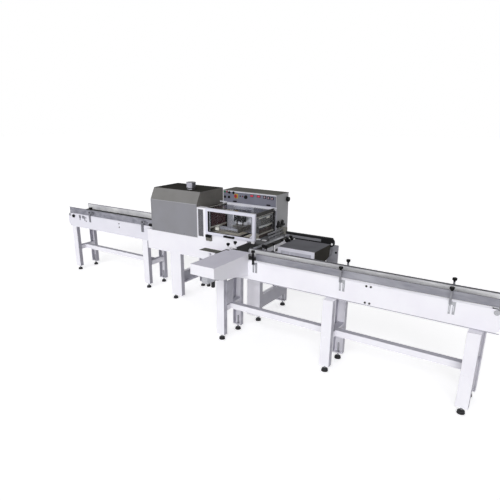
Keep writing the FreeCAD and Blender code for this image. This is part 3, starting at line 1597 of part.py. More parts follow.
NODES = {
    "main_legs": main_legs,
    "main_crossplates": main_crossplates,
    "long_skirts": lambda: group([long_skirt(frame_front, 1), long_skirt(frame_rear, -1)]),
    "skirt_ends": skirt_ends,
    "machine_deck": machine_deck,
    "guard_sill": guard_sill,
    "foot_pads": foot_pads,
    "foot_rods": foot_rods,
    "tunnel_cover": tunnel_cover,
    "tunnel_ends": tunnel_ends,
    "tunnel_chamber": tunnel_chamber,
    "tunnel_chimney": tunnel_chimney,
    "tunnel_hood": tunnel_hood,
    "tunnel_curtains": tunnel_curtains,
    "process_belts": process_belts,
    "process_beds": process_beds,
    "vent_column": vent_column,
    "vent_grille": vent_grille,
    "guard_frame": guard_frame,
    "guard_panels": guard_panels,
    "guard_handle": guard_handle,
    "guard_hinges": guard_hinges,
    "guard_latch": guard_latch,
    "control_cabinet": control_cabinet,
    "control_panel": control_panel,
    "panel_controls": panel_controls,
    "cabinet_knob": cabinet_knobs,
    "seal_head": seal_head,
    "seal_lower_jaw": seal_lower_jaw,
    "seal_bridge": seal_bridge,
    "seal_cylinders": seal_cylinders,
    "transfer_belt": transfer_belt,
    "transfer_bed": transfer_bed,
    "film_rail": film_rail,
    "film_rollers": film_rollers,
    "film_deflector": film_deflector,
    "film_cradle": film_cradle,
    "cradle_arms": cradle_arms,
    "cradle_end_plate": cradle_end_plate,
    "film_bar": film_bar,
    "film_guide": film_guide,
    "pusher_cover": pusher_cover,
    "pusher_drive": pusher_drive,
    "air_unit": air_unit,
    "infeed_stop": infeed_stop,
    "infeed_beam_inner": infeed_beam_inner,
    "infeed_beam_outer": infeed_beam_outer,
    "outfeed_beam": outfeed_beam,
    "conveyor_belts": conveyor_belts,
    "end_rollers": end_rollers,
    "conveyor_guides": conveyor_guides,
    "conveyor_legs": conveyor_legs,
    "conveyor_ties": conveyor_ties,
    "guide_posts": guide_posts,
    "post_feet": post_feet,
    "side_brackets": side_brackets,
    "clamp_knobs": clamp_knobs,
}


def main():
    os.makedirs("parts", exist_ok=True)
    for name, build in NODES.items():
        shape = build()
        shape.exportStep("parts/" + name + ".step")
        print(name, len(shape.Solids), "solids", round(shape.Volume / 1e6, 3), "litres", shape.isValid())


main()
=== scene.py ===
"""Dresses the sealing line: paint, steel, belts, curtains, panel instruments, fasteners and studio light.

Lengths in the helpers are in millimetres, in the model's own frame; piece() turns them into metres.
"""
import bmesh
import bpy
import json
import math
from mathutils import Matrix, Vector


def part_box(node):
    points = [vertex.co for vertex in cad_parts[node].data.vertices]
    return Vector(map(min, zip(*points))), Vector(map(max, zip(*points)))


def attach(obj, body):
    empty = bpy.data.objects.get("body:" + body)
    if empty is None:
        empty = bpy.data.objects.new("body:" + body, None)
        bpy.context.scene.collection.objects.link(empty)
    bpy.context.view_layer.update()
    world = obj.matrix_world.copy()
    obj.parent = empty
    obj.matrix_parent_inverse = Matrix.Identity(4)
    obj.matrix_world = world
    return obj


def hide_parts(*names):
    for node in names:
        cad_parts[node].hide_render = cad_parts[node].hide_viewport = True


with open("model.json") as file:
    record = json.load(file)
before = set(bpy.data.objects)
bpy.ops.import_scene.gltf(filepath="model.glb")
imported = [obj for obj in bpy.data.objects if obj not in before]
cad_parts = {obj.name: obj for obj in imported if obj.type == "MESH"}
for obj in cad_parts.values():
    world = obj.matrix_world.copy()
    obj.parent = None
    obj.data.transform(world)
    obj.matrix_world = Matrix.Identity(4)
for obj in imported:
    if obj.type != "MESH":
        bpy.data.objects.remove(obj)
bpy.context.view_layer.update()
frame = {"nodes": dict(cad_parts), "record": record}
MM = 0.001
FRONT, BACK, LEFT, UP = (0, -1, 0), (0, 1, 0), (-1, 0, 0), (0, 0, 1)


# Camera, at the photograph's height and angle
def set_camera():
    place = (3.800, -4.222, 2.200)
    azimuth, fall, roll = 35.03, 19.24, -0.18
    lens = bpy.data.cameras.new("view_camera")
    lens.lens = 34.8
    lens.sensor_width = 36.0
    # the photograph's optical axis lies left of its middle and below it
    lens.shift_x = 0.038
    lens.shift_y = 0.06
    lens.clip_end = 60.0
    camera = bpy.data.objects.new("view_camera", lens)
    bpy.context.scene.collection.objects.link(camera)
    turn = Matrix.Rotation(math.radians(azimuth), 4, "Z")
    tilt = Matrix.Rotation(math.radians(90 - fall), 4, "X")
    level = Matrix.Rotation(math.radians(roll), 4, "Z")
    camera.matrix_world = Matrix.Translation(place) @ turn @ tilt @ level
    bpy.context.scene.camera = camera


set_camera()


# Finishes
def linear(code):
    """sRGB hex colour as linear RGBA."""
    out = []
    for k in (0, 2, 4):
        v = int(code[k:k + 2], 16) / 255
        out.append(v / 12.92 if v <= 0.04045 else ((v + 0.055) / 1.055) ** 2.4)
    return (*out, 1.0)


def add_node(tree, kind, settings=None, links=None):
    """One shader node: settings go to sockets or properties, links name the sockets that feed it."""
    new = tree.nodes.new("ShaderNode" + kind)
    for key, value in (settings or {}).items():
        if isinstance(key, int) or key in new.inputs:
            new.inputs[key].default_value = value
        else:
            setattr(new, key, value)
    for key, source in (links or {}).items():
        tree.links.new(source, new.inputs[key])
    return new


def start_finish(name, settings):
    """A material whose shader is set so, and the place on the piece that its patterns are laid out by."""
    finish = bpy.data.materials.new(name)
    finish.use_nodes = True
    tree = finish.node_tree
    shader = tree.nodes["Principled BSDF"]
    for key, value in settings.items():
        shader.inputs[key].default_value = value
    place = add_node(tree, "TexCoord").outputs["Object"]
    return finish, tree, shader, place


def powder_coat(name, code, shade_code, roughness=0.42, dust_mm=260.0, sheen=0.3):
    """Sprayed and baked polyester powder: an even satin colour with orange peel and faint handling marks.

    sheen is low on the finishes of upward faces, taking their grazing gloss away so that the tops show darker,
    as painted shade.
    """
    finish, tree, shader, place = start_finish(name, {"IOR": 1.5, "Specular IOR Level": sheen})
    # cloudy tone, over a quarter metre on large sprayed panels
    settings = {"Scale": 1 / (dust_mm * MM), "Detail": 3.0}
    cloud = add_node(tree, "TexNoise", settings, {"Vector": place})
    settings = {"From Min": 0.42, "From Max": 0.75}
    tone = add_node(tree, "MapRange", settings, {"Value": cloud.outputs["Fac"]})
    settings = {"data_type": "RGBA", 6: linear(code), 7: linear(shade_code)}
    mix = add_node(tree, "Mix", settings, {0: tone.outputs["Result"]})
    tree.links.new(mix.outputs[2], shader.inputs["Base Color"])
    # orange peel, about 1 mm on the real coat, drawn coarser so that it shows
    peel_mm = 6.0
    settings = {"Scale": 1 / (peel_mm * MM), "Detail": 2.0}
    skin = add_node(tree, "TexNoise", settings, {"Vector": place}).outputs["Fac"]
    bump = add_node(tree, "Bump", {"Strength": 0.06, "Distance": 0.6 * MM}, {"Height": skin})
    tree.links.new(bump.outputs["Normal"], shader.inputs["Normal"])
    settings = {"To Min": roughness - 0.05, "To Max": roughness + 0.07}
    gloss = add_node(tree, "MapRange", settings, {"Value": skin})
    tree.links.new(gloss.outputs["Result"], shader.inputs["Roughness"])
    return finish


def brushed_steel(name, code, dark_code, along, roughness=0.3, grain_mm=9.0, length_mm=420.0, metal=1.0):
    """Stainless sheet ground with a belt: long fine scratches along one axis."""
    finish, tree, shader, place = start_finish(name, {"Metallic": metal})
    # scratches are about 0.1 mm wide, drawn as wider streaks so that they show
    stretch = [1 / (grain_mm * MM)] * 3
    stretch["XYZ".index(along)] = 1 / (length_mm * MM)
    mapped = add_node(tree, "Mapping", {"Scale": stretch}, {"Vector": place}).outputs["Vector"]
    settings = {"Scale": 1.0, "Detail": 5.0, "Roughness": 0.6}
    streaks = add_node(tree, "TexNoise", settings, {"Vector": mapped}).outputs["Fac"]
    tone = add_node(tree, "MapRange", {"From Min": 0.3, "From Max": 0.7}, {"Value": streaks})
    settings = {"data_type": "RGBA", 6: linear(dark_code), 7: linear(code)}
    mix = add_node(tree, "Mix", settings, {0: tone.outputs["Result"]})
    tree.links.new(mix.outputs[2], shader.inputs["Base Color"])
    settings = {"To Min": roughness + 0.14, "To Max": roughness - 0.04}
    gloss = add_node(tree, "MapRange", settings, {"Value": streaks})
    tree.links.new(gloss.outputs["Result"], shader.inputs["Roughness"])
    bump = add_node(tree, "Bump", {"Strength": 0.08, "Distance": 0.5 * MM}, {"Height": streaks})
    tree.links.new(bump.outputs["Normal"], shader.inputs["Normal"])
    return finish


def zinc_plate(name, code, dark_code, roughness=0.32):
    """Bright zinc on small steel parts: metallic with a faint spangle of about 5 mm."""
    finish, tree, shader, place = start_finish(name, {"Metallic": 1.0})
    settings = {"Scale": 1 / (5.0 * MM)}
    spangle = add_node(tree, "TexVoronoi", settings, {"Vector": place}).outputs["Distance"]
    settings = {"data_type": "RGBA", 6: linear(code), 7: linear(dark_code)}
    mix = add_node(tree, "Mix", settings, {0: spangle})
    tree.links.new(mix.outputs[2], shader.inputs["Base Color"])
    settings = {"To Min": roughness, "To Max": roughness + 0.15}
    gloss = add_node(tree, "MapRange", settings, {"Value": spangle})
    tree.links.new(gloss.outputs["Result"], shader.inputs["Roughness"])
    return finish


def moulded(name, code, edge_code, roughness=0.45, grain_mm=2.5, grain=0.12, ior=1.5):
    """Moulded plastic, rubber or coating: even colour with a fine grain."""
    finish, tree, shader, place = start_finish(name, {"Roughness": roughness, "IOR": ior})
    settings = {"Scale": 1 / (grain_mm * MM), "Detail": 4.0}
    speck = add_node(tree, "TexNoise", settings, {"Vector": place}).outputs["Fac"]
    settings = {"data_type": "RGBA", 6: linear(code), 7: linear(edge_code)}
    mix = add_node(tree, "Mix", settings, {0: speck})
    tree.links.new(mix.outputs[2], shader.inputs["Base Color"])
    bump = add_node(tree, "Bump", {"Strength": grain, "Distance": 0.3 * MM}, {"Height": speck})
    tree.links.new(bump.outputs["Normal"], shader.inputs["Normal"])
    return finish


def woven_belt(name, code, dark_code, sheen=0.2, fade=None):
    """Polyurethane belt with an impressed cloth: a fine square weave, worn in patches.

    fade names an axis, two places along it in mm and the colour that the belt turns to past them.
    """
    finish, tree, shader, place = start_finish(name, {"Roughness": 0.6, "Specular IOR Level": sheen})
    # the cloth has a thread every 1 mm or so, drawn five times coarser so that it shows
    thread_mm = 5.0
    wave_repeat = 0.31      # metres between the bands of a wave texture of scale 1
    threads = []
    for axis in ("X", "Y"):
        settings = {"bands_direction": axis, "Scale": wave_repeat / (thread_mm * MM)}
        threads.append(add_node(tree, "TexWave", settings, {"Vector": place}).outputs["Fac"])
    settings = {"operation": "MULTIPLY"}
    cloth = add_node(tree, "Math", settings, {0: threads[0], 1: threads[1]}).outputs["Value"]
    patches_per_metre = 7.0
    settings = {"Scale": patches_per_metre, "Detail": 4.0}
    wear = add_node(tree, "TexNoise", settings, {"Vector": place}).outputs["Fac"]
    blend = add_node(tree, "Math", {"operation": "MULTIPLY_ADD", 1: 0.35}, {0: cloth, 2: wear})
    settings = {"data_type": "RGBA", 6: linear(dark_code), 7: linear(code)}
    shown = add_node(tree, "Mix", settings, {0: blend.outputs["Value"]}).outputs[2]
    if fade:
        axis, start_mm, end_mm, worn_code = fade
        along = add_node(tree, "SeparateXYZ", {}, {"Vector": place}).outputs[axis]
        settings = {"From Min": start_mm * MM, "From Max": end_mm * MM}
        share = add_node(tree, "MapRange", settings, {"Value": along}).outputs["Result"]
        settings = {"data_type": "RGBA", 7: linear(worn_code)}
        shown = add_node(tree, "Mix", settings, {0: share, 6: shown}).outputs[2]
    tree.links.new(shown, shader.inputs["Base Color"])
    bump = add_node(tree, "Bump", {"Strength": 0.25, "Distance": 0.5 * MM}, {"Height": cloth})
    tree.links.new(bump.outputs["Normal"], shader.inputs["Normal"])
    return finish


def clear_sheet(name, code, ior=1.49):
    """Cast acrylic, 4 mm: clear with faint wipe marks; a coated sheet, which mirrors less, has a low ior.

    It lets lamp light through to what stands behind it, as thin sheet does.
    """
    settings = {"Base Color": linear(code), "Transmission Weight": 1.0, "IOR": ior}
    finish, tree, shader, place = start_finish(name, settings)
    wipes_per_metre = 6.0
    settings = {"Scale": wipes_per_metre, "Detail": 2.0}
    wipes = add_node(tree, "TexNoise", settings, {"Vector": place}).outputs["Fac"]
    gloss = add_node(tree, "MapRange", {"To Min": 0.02, "To Max": 0.07}, {"Value": wipes})
    tree.links.new(gloss.outputs["Result"], shader.inputs["Roughness"])
    shadow = add_node(tree, "LightPath").outputs["Is Shadow Ray"]
    lets_by = add_node(tree, "Math", {"operation": "SUBTRACT", 0: 1.0}, {1: shadow})
    tree.links.new(lets_by.outputs["Value"], shader.inputs["Alpha"])
    return finish


def lamp_lens(name, code, glow):
    """Diffusing polycarbonate lens, lit from behind, with moulded prisms about 2 mm apart."""
    settings = {"Base Color": linear(code), "Roughness": 0.2,
                "Emission Color": linear(code), "Emission Strength": glow}
    finish, tree, shader, place = start_finish(name, settings)
    settings = {"Scale": 1 / (2.0 * MM)}
    prisms = add_node(tree, "TexVoronoi", settings, {"Vector": place}).outputs["Distance"]
    bump = add_node(tree, "Bump", {"Strength": 0.2, "Distance": 0.3 * MM}, {"Height": prisms})
    tree.links.new(bump.outputs["Normal"], shader.inputs["Normal"])
    return finish


# Frame, beams and legs
white_coat = powder_coat("white_powder_coat", "f1f0f6", "eceaf2")
# painted shade: a darker copy of the white coat on the outfeed conveyor legs' right-facing sides
leg_shaded_side_coat = powder_coat("white_coat_painted_shade_side", "adacb6", "a2a1ab", roughness=0.45)
# painted shade: a darker copy of the white coat on the main legs' and cross plates' right-facing sides
frame_shaded_side_coat = powder_coat("white_coat_painted_shade_frame_side", "b7b6bf", "abaab4", roughness=0.45, dust_mm=140.0)
# painted shade: a darker copy of the white coat on the cross ties' upward faces
tie_shaded_top_coat = powder_coat("white_coat_painted_shade_top", "cfced8", "c4c3cd", roughness=0.5, dust_mm=180.0, sheen=0.0)
# painted shade: grey on white-coated parts in shade, the bracket plate on the infeed's front leg and the
# infeed legs' right-facing sides
shaded_plate_coat = powder_coat("white_coat_painted_shade_plate", "bdbcc6", "a6a5b0", roughness=0.45, dust_mm=70.0)
beam_coat = powder_coat("outfeed_beam_white", "e4e3ec", "dbdae4", dust_mm=420.0)
# painted shade: a darker copy of the pusher cover's white on its upward faces
cover_shaded_top_coat = powder_coat("white_cover_top_painted_shade", "e4e2ee", "dbd9e6", roughness=0.55, sheen=0.0)
bracket_coat = powder_coat("bracket_mid_grey", "7c7c84", "74747c", roughness=0.45, dust_mm=60.0)
pad_black = moulded("foot_black_rubber", "1a1a1c", "252528", roughness=0.6, grain=0.2)

# Tunnel
hood_coat = powder_coat("hammer_grey_powder_coat", "8a8a90", "848488", roughness=0.38)
# painted shade: a darker, warmer copy of the hood's grey on the cover's sloped faces
hood_shaded_slope_coat = powder_coat("hammer_grey_slope_painted_shade", "807f7e", "797876", roughness=0.45, sheen=0.2)
hood_top_coat = powder_coat("weathered_grey_powder_coat", "42413e", "3a3936", roughness=0.6, sheen=0.0)
# painted shade: a darker copy of the hood's grey on the right-facing gables
hood_shaded_side_coat = powder_coat("hammer_grey_gable_painted_shade", "7a7874", "6c6a67", roughness=0.5, dust_mm=160.0, sheen=0.1)
hood_inside = powder_coat("dark_hood_paint_and_painted_shade", "161312", "100e0d", roughness=0.7, sheen=0.05)
fold_highlight_coat = powder_coat("cover_fold_painted_highlight", "9c9ca0", "959599", roughness=0.4)
# lit and shaded copies of the chimney's grey: painted highlight and painted shade
stack_lit_coat = powder_coat("chimney_grey_painted_highlight", "b4b4be", "9c9ca6", roughness=0.3, dust_mm=40.0)
stack_shade = powder_coat("chimney_painted_shade", "55555a", "4a4a4e", roughness=0.4, dust_mm=40.0, sheen=0.1)
curtain_red = moulded("silicone_curtain_oxblood", "55252b", "3b191d", roughness=0.5, grain_mm=9.0)

# Control cabinet
cabinet_coat = powder_coat("light_grey_powder_coat", "a3a3a5", "9b9b9d", roughness=0.4, sheen=0.15)
cabinet_roof_coat = powder_coat("cabinet_roof_grey", "74736e", "6b6a65", roughness=0.6, sheen=0.0)
wall_coat = powder_coat("cabinet_wall_grey", "97979f", "85858d", roughness=0.5, dust_mm=120.0)
fascia_coat = powder_coat("slate_grey_fascia", "71727f", "696a76", roughness=0.38)
rim_coat = powder_coat("fascia_rim_pale_grey", "d6d6de", "cdcdd6", roughness=0.35)
knob_black = moulded("moulded_black_polyamide", "0d0d0e", "161617", ior=1.2)
screen = moulded("smoked_display_window", "2a1416", "1d0d0f", roughness=0.12)
yellow_plate = moulded("yellow_switch_plate", "a8921c", "9c8614", roughness=0.35)
red_knob = moulded("red_switch_handle", "a8243a", "961c30", roughness=0.3)
dial_pale = moulded("pale_dial_face", "98808a", "8c747e", roughness=0.4)
lens_green = lamp_lens("green_lamp_lens", "1f6a4a", 0.05)
lens_red = lamp_lens("red_lamp_lens", "86343f", 0.08)
digit_red = lamp_lens("red_digit_led", "d0304c", 0.5)

# Guard and sealing zone
guard_coat = powder_coat("guard_frame_pale_lavender", "dedeea", "d6d6e4", roughness=0.35)
gasket_black = powder_coat("black_pane_gasket", "1b1a1d", "151417", roughness=0.6, sheen=0.05)
rail_coat = powder_coat("side_rail_warm_grey", "b4b1aa", "a8a59e", roughness=0.45)
# dark trim, which also stands as painted shade on the outfeed front guide's top edge and beside the film rail
dark_trim_and_shade = powder_coat("dark_edge_trim_and_painted_shade", "3a3938", "302f2e", roughness=0.5, sheen=0.1)
plate_dark = powder_coat("dark_wall_plate", "47474a", "3b3b3d", roughness=0.55, dust_mm=60.0, sheen=0.1)
chute_brown = powder_coat("film_chute_dark_brown", "4e4644", "403836", roughness=0.5, sheen=0.1)
machine_black = powder_coat("semi_gloss_black_paint", "19191b", "131314", roughness=0.35)
slip_white = moulded("white_slip_plate", "f0f0f2", "e8e8ec", roughness=0.35)
jaw_coat = moulded("ptfe_coated_jaw", "4a4744", "575350", roughness=0.35)
pane = clear_sheet("clear_acrylic_coated", "eef0f1", ior=1.13)
roof_pane = clear_sheet("clear_acrylic_roof", "bfc1c6")

# Film cradle
cradle_coat = powder_coat("cradle_dark_grey", "7a7a7f", "6f6f74", roughness=0.6, sheen=0.0)
cradle_side_coat = powder_coat("cradle_side_charcoal", "45433f", "3d3b38", roughness=0.6, sheen=0.0)
cradle_rim_coat = powder_coat("cradle_front_pale_grey", "e6e5ee", "dbdae4", roughness=0.36)
cradle_door_coat = powder_coat("cradle_door_grey", "c3c3cd", "acacb6", roughness=0.36, dust_mm=90.0)
plate_coat = powder_coat("end_plate_grey", "909096", "7f7f85", roughness=0.4, dust_mm=60.0)

# Guides, rollers and belts; the guides' sheet mirrors little, and the pale colours on the lanes' sides are
# painted reflection
guide_steel = brushed_steel("ground_stainless_sheet", "a2a2aa", "75757e", "X",
                            roughness=0.4, grain_mm=70.0, length_mm=300.0, metal=0.35)
lane_reflection_steel = brushed_steel("stainless_lane_side_painted_reflection", "f0f0f2", "a9a9ae", "X",
                                roughness=0.4, grain_mm=80.0, length_mm=520.0, metal=0.1)
outfeed_lane_reflection_steel = brushed_steel("outfeed_lane_sheet_painted_reflection", "ffffff", "d0d0d6", "X",
                                   roughness=0.4, grain_mm=190.0, length_mm=260.0, metal=0.0)
guide_worn_steel = brushed_steel("worn_guide_sheet", "a0a0aa", "70707a", "X",
                                 roughness=0.45, grain_mm=30.0, length_mm=90.0, metal=0.35)
guide_top_shade = powder_coat("guide_top_edge_painted_shade", "66666b", "5c5c61", roughness=0.6, dust_mm=90.0, sheen=0.0)
edge_shade_grey = powder_coat("edge_line_painted_shade", "b0afb8", "a5a4ad", roughness=0.45)
bar_aluminium = brushed_steel("anodised_aluminium", "c2c3c8", "9d9ea4", "Y", roughness=0.38)
bed_steel = brushed_steel("galvanised_bed_sheet", "a5a6aa", "8a8b8f", "X", roughness=0.45)
zinc = zinc_plate("bright_zinc_plate", "b8b9bd", "8c8d92")
roller_steel = brushed_steel("turned_roller_steel", "d2d3d6", "9a9b9f", "Y", roughness=0.28)
worn_roller = brushed_steel("worn_grey_roller", "8d8d92", "5c5c60", "X", roughness=0.42, metal=0.5)
belt_dark = woven_belt("green_black_belt", "2f2f2e", "212120", sheen=0.05)
# painted sheen: the transfer belt turns lighter grey past y 20
belt_sheen_fade = woven_belt("green_black_belt_painted_sheen", "2f2f2e", "212120", sheen=0.05,
                        fade=("Y", -70, 20, "77777a"))
belt_beige = woven_belt("beige_pu_belt", "f8eede", "e6dccb", fade=("X", 770, 1000, "98938b"))

PLAIN = {
    "white_enamel": white_coat, "grey_enamel": hood_coat, "light_grey_enamel": cabinet_coat,
    "cover_grey_enamel": white_coat, "brushed_stainless": guide_steel, "zinc_steel": zinc,
    "aluminium": bar_aluminium, "black_plastic": knob_black, "foot_black": pad_black,
    "belt_dark": belt_dark, "belt_beige": belt_beige, "curtain": curtain_red, "vent_dark": machine_black,
    "clear_pane": pane, "dark_metal": machine_black, "jaw_metal": jaw_coat, "control_face": knob_black,
}


def dress_nodes():
    """Every CAD piece takes its slot's finish."""
    for part in frame["record"]["subparts"]:
        shown = frame["nodes"][part["node"]]
        shown.data.materials.clear()
        shown.data.materials.append(PLAIN[part["material_slot"]])


def refinish(node, finish, where=None):
    """Another finish on a CAD piece, or only on its faces whose centre and direction pass a test."""
    shown = frame["nodes"][node]
    if where is None:
        shown.data.materials[0] = finish
        return
    shown.data.materials.append(finish)
    place = len(shown.data.materials) - 1
    for face in shown.data.polygons:
        if where(face.center / MM, face.normal):
            face.material_index = place


# Tests for refinish: c is a face's centre in millimetres, n its direction
SQUARE, LEANING = 0.9, 0.5              # share of the direction along an axis
FRONT_END, RAILS_END = -40, 315         # ends of the guard's front frame and of its side rails, along y


def upward(c, n):
    return n.z > SQUARE


def frontal(c, n):
    return n.y < -LEANING


def rightward(c, n):
    return n.x > LEANING


def gable(c, n):
    return n.x > SQUARE


def on_rails(c, n):
    return FRONT_END < c.y < RAILS_END


def on_rear_bar(c, n):
    return c.y > RAILS_END


def gasket_seat(c, n):
    """Inner sides of the guard's front frame, where the panes are let in."""
    return c.y < FRONT_END and abs(n.y) < LEANING and 555 < c.x < 1181 and 915 < c.z < 1191


def outfeed_front(c, n):
    """On the outfeed's front guide: its rear one lies past y 200, and the infeed's lie below 0."""
    return 0 < c.y < 200


dress_nodes()
refinish("tunnel_cover", hood_top_coat, upward)
refinish("tunnel_cover", hood_shaded_slope_coat, lambda c, n: 0.2 < n.z < SQUARE)
refinish("tunnel_cover", hood_shaded_side_coat, gable)
refinish("tunnel_ends", hood_shaded_side_coat, gable)
refinish("pusher_cover", cover_shaded_top_coat, upward)
refinish("tunnel_hood", hood_inside)
refinish("control_cabinet", cabinet_roof_coat, upward)
refinish("control_cabinet", wall_coat, lambda c, n: frontal(c, n) and c.z < 1190)
refinish("control_panel", fascia_coat)
refinish("control_panel", rim_coat, lambda c, n: c.z < 1205.5)
refinish("film_cradle", cradle_coat)
refinish("film_cradle", cradle_side_coat, lambda c, n: abs(n.x) > LEANING)
refinish("film_cradle", cradle_rim_coat, frontal)
refinish("cradle_end_plate", plate_coat)
refinish("process_beds", bed_steel)
refinish("transfer_bed", bed_steel)
refinish("transfer_bed", dark_trim_and_shade, rightward)
refinish("transfer_belt", belt_sheen_fade)
refinish("film_guide", cradle_coat)
refinish("film_guide", dark_trim_and_shade, rightward)
refinish("guard_frame", guard_coat)
refinish("guard_frame", dark_trim_and_shade, on_rails)
refinish("guard_frame", rail_coat, lambda c, n: on_rails(c, n) and c.z < 980)
refinish("guard_frame", rail_coat, lambda c, n: on_rails(c, n) and c.x < 700 and upward(c, n))
refinish("guard_frame", gasket_black, on_rear_bar)
refinish("guard_frame", rim_coat, lambda c, n: on_rear_bar(c, n) and c.z > 1165)
refinish("guard_frame", gasket_black, gasket_seat)
refinish("guard_latch", cabinet_roof_coat)
refinish("guard_latch", knob_black, lambda c, n: c.z > 872)
refinish("guard_handle", knob_black)
refinish("seal_cylinders", machine_black)
refinish("side_brackets", bracket_coat)
refinish("side_brackets", shaded_plate_coat, lambda c, n: c.z < 700 and c.y < -400)
refinish("conveyor_legs", leg_shaded_side_coat, lambda c, n: rightward(c, n) and c.x < 0)
refinish("conveyor_legs", shaded_plate_coat, lambda c, n: rightward(c, n) and c.x > 0)
refinish("conveyor_ties", tie_shaded_top_coat, upward)
refinish("main_crossplates", frame_shaded_side_coat, rightward)
refinish("main_legs", frame_shaded_side_coat, rightward)
refinish("outfeed_beam", beam_coat, frontal)
refinish("guide_posts", plate_coat)
refinish("guide_posts", knob_black, lambda c, n: c.x < 1505 and c.y < -560)
refinish("infeed_stop", cabinet_roof_coat, lambda c, n: upward(c, n) and c.z < 865)
refinish("film_bar", machine_black)
refinish("film_deflector", dark_trim_and_shade)
refinish("film_deflector", roller_steel, lambda c, n: c.x > 1144.5 and abs(n.y) < LEANING)
refinish("film_rollers", worn_roller)
refinish("film_rollers", cabinet_roof_coat, lambda c, n: c.y > 419)
refinish("air_unit", machine_black)
refinish("conveyor_belts", belt_dark)
# painted reflection: pale, nearly matt steel on the rear guides' lane faces
refinish("conveyor_guides", lane_reflection_steel, lambda c, n: frontal(c, n) and -460 < c.y < 0)
refinish("conveyor_guides", outfeed_lane_reflection_steel, lambda c, n: frontal(c, n) and c.y > 200)
refinish("conveyor_guides", guide_worn_steel, lambda c, n: frontal(c, n) and outfeed_front(c, n))
# painted shade on the guides' top edges
refinish("conveyor_guides", dark_trim_and_shade, lambda c, n: upward(c, n) and outfeed_front(c, n))
refinish("conveyor_guides", guide_top_shade, lambda c, n: upward(c, n) and not outfeed_front(c, n))
refinish("guard_panels", roof_pane, upward)
refinish("seal_bridge", rim_coat)


# Small pieces
def block(bm, x0, x1, y0, y1, z0, z1):
    grown = bmesh.ops.create_cube(bm, size=1.0)["verts"]
    bmesh.ops.scale(bm, verts=grown, vec=(x1 - x0, y1 - y0, z1 - z0))
    bmesh.ops.translate(bm, verts=grown, vec=((x0 + x1) / 2, (y0 + y1) / 2, (z0 + z1) / 2))


def blocks(*limits):
    """A mesh of blocks, each given by its two ends along x, y and z."""
    bm = bmesh.new()
    for ends in limits:
        block(bm, *ends)
    return bm


def turned(bm, profile, centre, axis, sides=28):
    """A turned form: profile gives radius and height along the axis, from its base up."""
    out = Vector(axis).normalized()
    aside = out.orthogonal().normalized()
    across = out.cross(aside)
    rings = []
    for radius, height in profile:
        ring = []
        for k in range(sides):
            angle = 2 * math.pi * k / sides
            reach = (aside * math.cos(angle) + across * math.sin(angle)) * radius
            ring.append(bm.verts.new(Vector(centre) + out * height + reach))
        rings.append(ring)
    for low, high in zip(rings[:-1], rings[1:]):
        for k in range(sides):
            bm.faces.new((low[k], low[(k + 1) % sides], high[(k + 1) % sides], high[k]))
    bm.faces.new(list(reversed(rings[0])))
    bm.faces.new(rings[-1])


def lathed(*forms):
    """A mesh of turned forms, each with its profile, centre, axis and sides."""
    bm = bmesh.new()
    for form in forms:
        turned(bm, *form)
    return bm


def swept(bm, outline, start, span):
    """A prism: an outline of points, carried along a span."""
    near = [bm.verts.new(Vector(p) + Vector(start)) for p in outline]
    far = [bm.verts.new(Vector(p) + Vector(start) + Vector(span)) for p in outline]
    count = len(outline)
    for k in range(count):
        bm.faces.new((near[k], near[(k + 1) % count], far[(k + 1) % count], far[k]))
    bm.faces.new(list(reversed(near)))
    bm.faces.new(far)


def piece(name, bm, finish, body="machine", soften=0.8, smooth=False):
    """Turns a mesh in millimetres into a piece that rides a body, with softened edges."""
    bmesh.ops.scale(bm, verts=bm.verts, vec=(MM, MM, MM))
    bmesh.ops.recalc_face_normals(bm, faces=bm.faces)
    mesh = bpy.data.meshes.new(name)
    bm.to_mesh(mesh)
    bm.free()
    made = bpy.data.objects.new(name, mesh)
    bpy.context.scene.collection.objects.link(made)
    mesh.materials.append(finish)
    if smooth:
        mesh.shade_smooth()
    if soften:
        edge = made.modifiers.new("soft_edge", "BEVEL")
        edge.width = soften * MM
        edge.segments = 2
        edge.limit_method = "ANGLE"
        edge.angle_limit = math.radians(35)
    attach(made, body)
    return made


def cap_screw(bm, centre, axis, size):
    """Hexagon head on a washer; size is the head's radius."""
    washer = size * 0.2
    seat = Vector(centre) + Vector(axis) * washer
    turned(bm, [(size * 1.15, 0), (size * 1.15, washer)], centre, axis, 16)
    turned(bm, [(size, 0), (size, size * 0.62), (size * 0.8, size * 0.75)], seat, axis, 6)


def dome_screw(bm, centre, axis, size=4.0):
    """Button head with a small flat; size is its radius."""
    dome = [(size, 0), (size * 0.96, size * 0.22), (size * 0.72, size * 0.48), (size * 0.3, size * 0.6)]
    turned(bm, dome, centre, axis, 16)


def spot(node):
    """A CAD piece's corners in millimetres."""
    low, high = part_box(node)
    return low / MM, high / MM


# Each conveyor's centre line along y, with its leg pairs along x
LEG_PAIRS = ((-460.0, (1152.0, 2287.0, 3422.0)), (237.0, (-1945.0, -550.0)))


def beam_fasteners():
    """Bolts beside the infeed beam's joint, and the pairs that hold the outfeed's belt bed."""
    bm = bmesh.new()
    low, high = spot("infeed_beam_inner")
    for step in (-18, 20):
        for z in (high.z - 24, high.z - 168):
            cap_screw(bm, (high.x + step, low.y, z), FRONT, 8.0)
            cap_screw(bm, (high.x + step, high.y, z), BACK, 8.0)
    low, high = spot("outfeed_beam")
    for share in (0.23, 0.63):
        x = low.x + share * (high.x - low.x)
        for z in (high.z - 40, high.z - 87):
            cap_screw(bm, (x, low.y, z), FRONT, 7.0)
            cap_screw(bm, (x, high.y, z), BACK, 7.0)
    piece("beam_screws", bm, dark_trim_and_shade, soften=0)


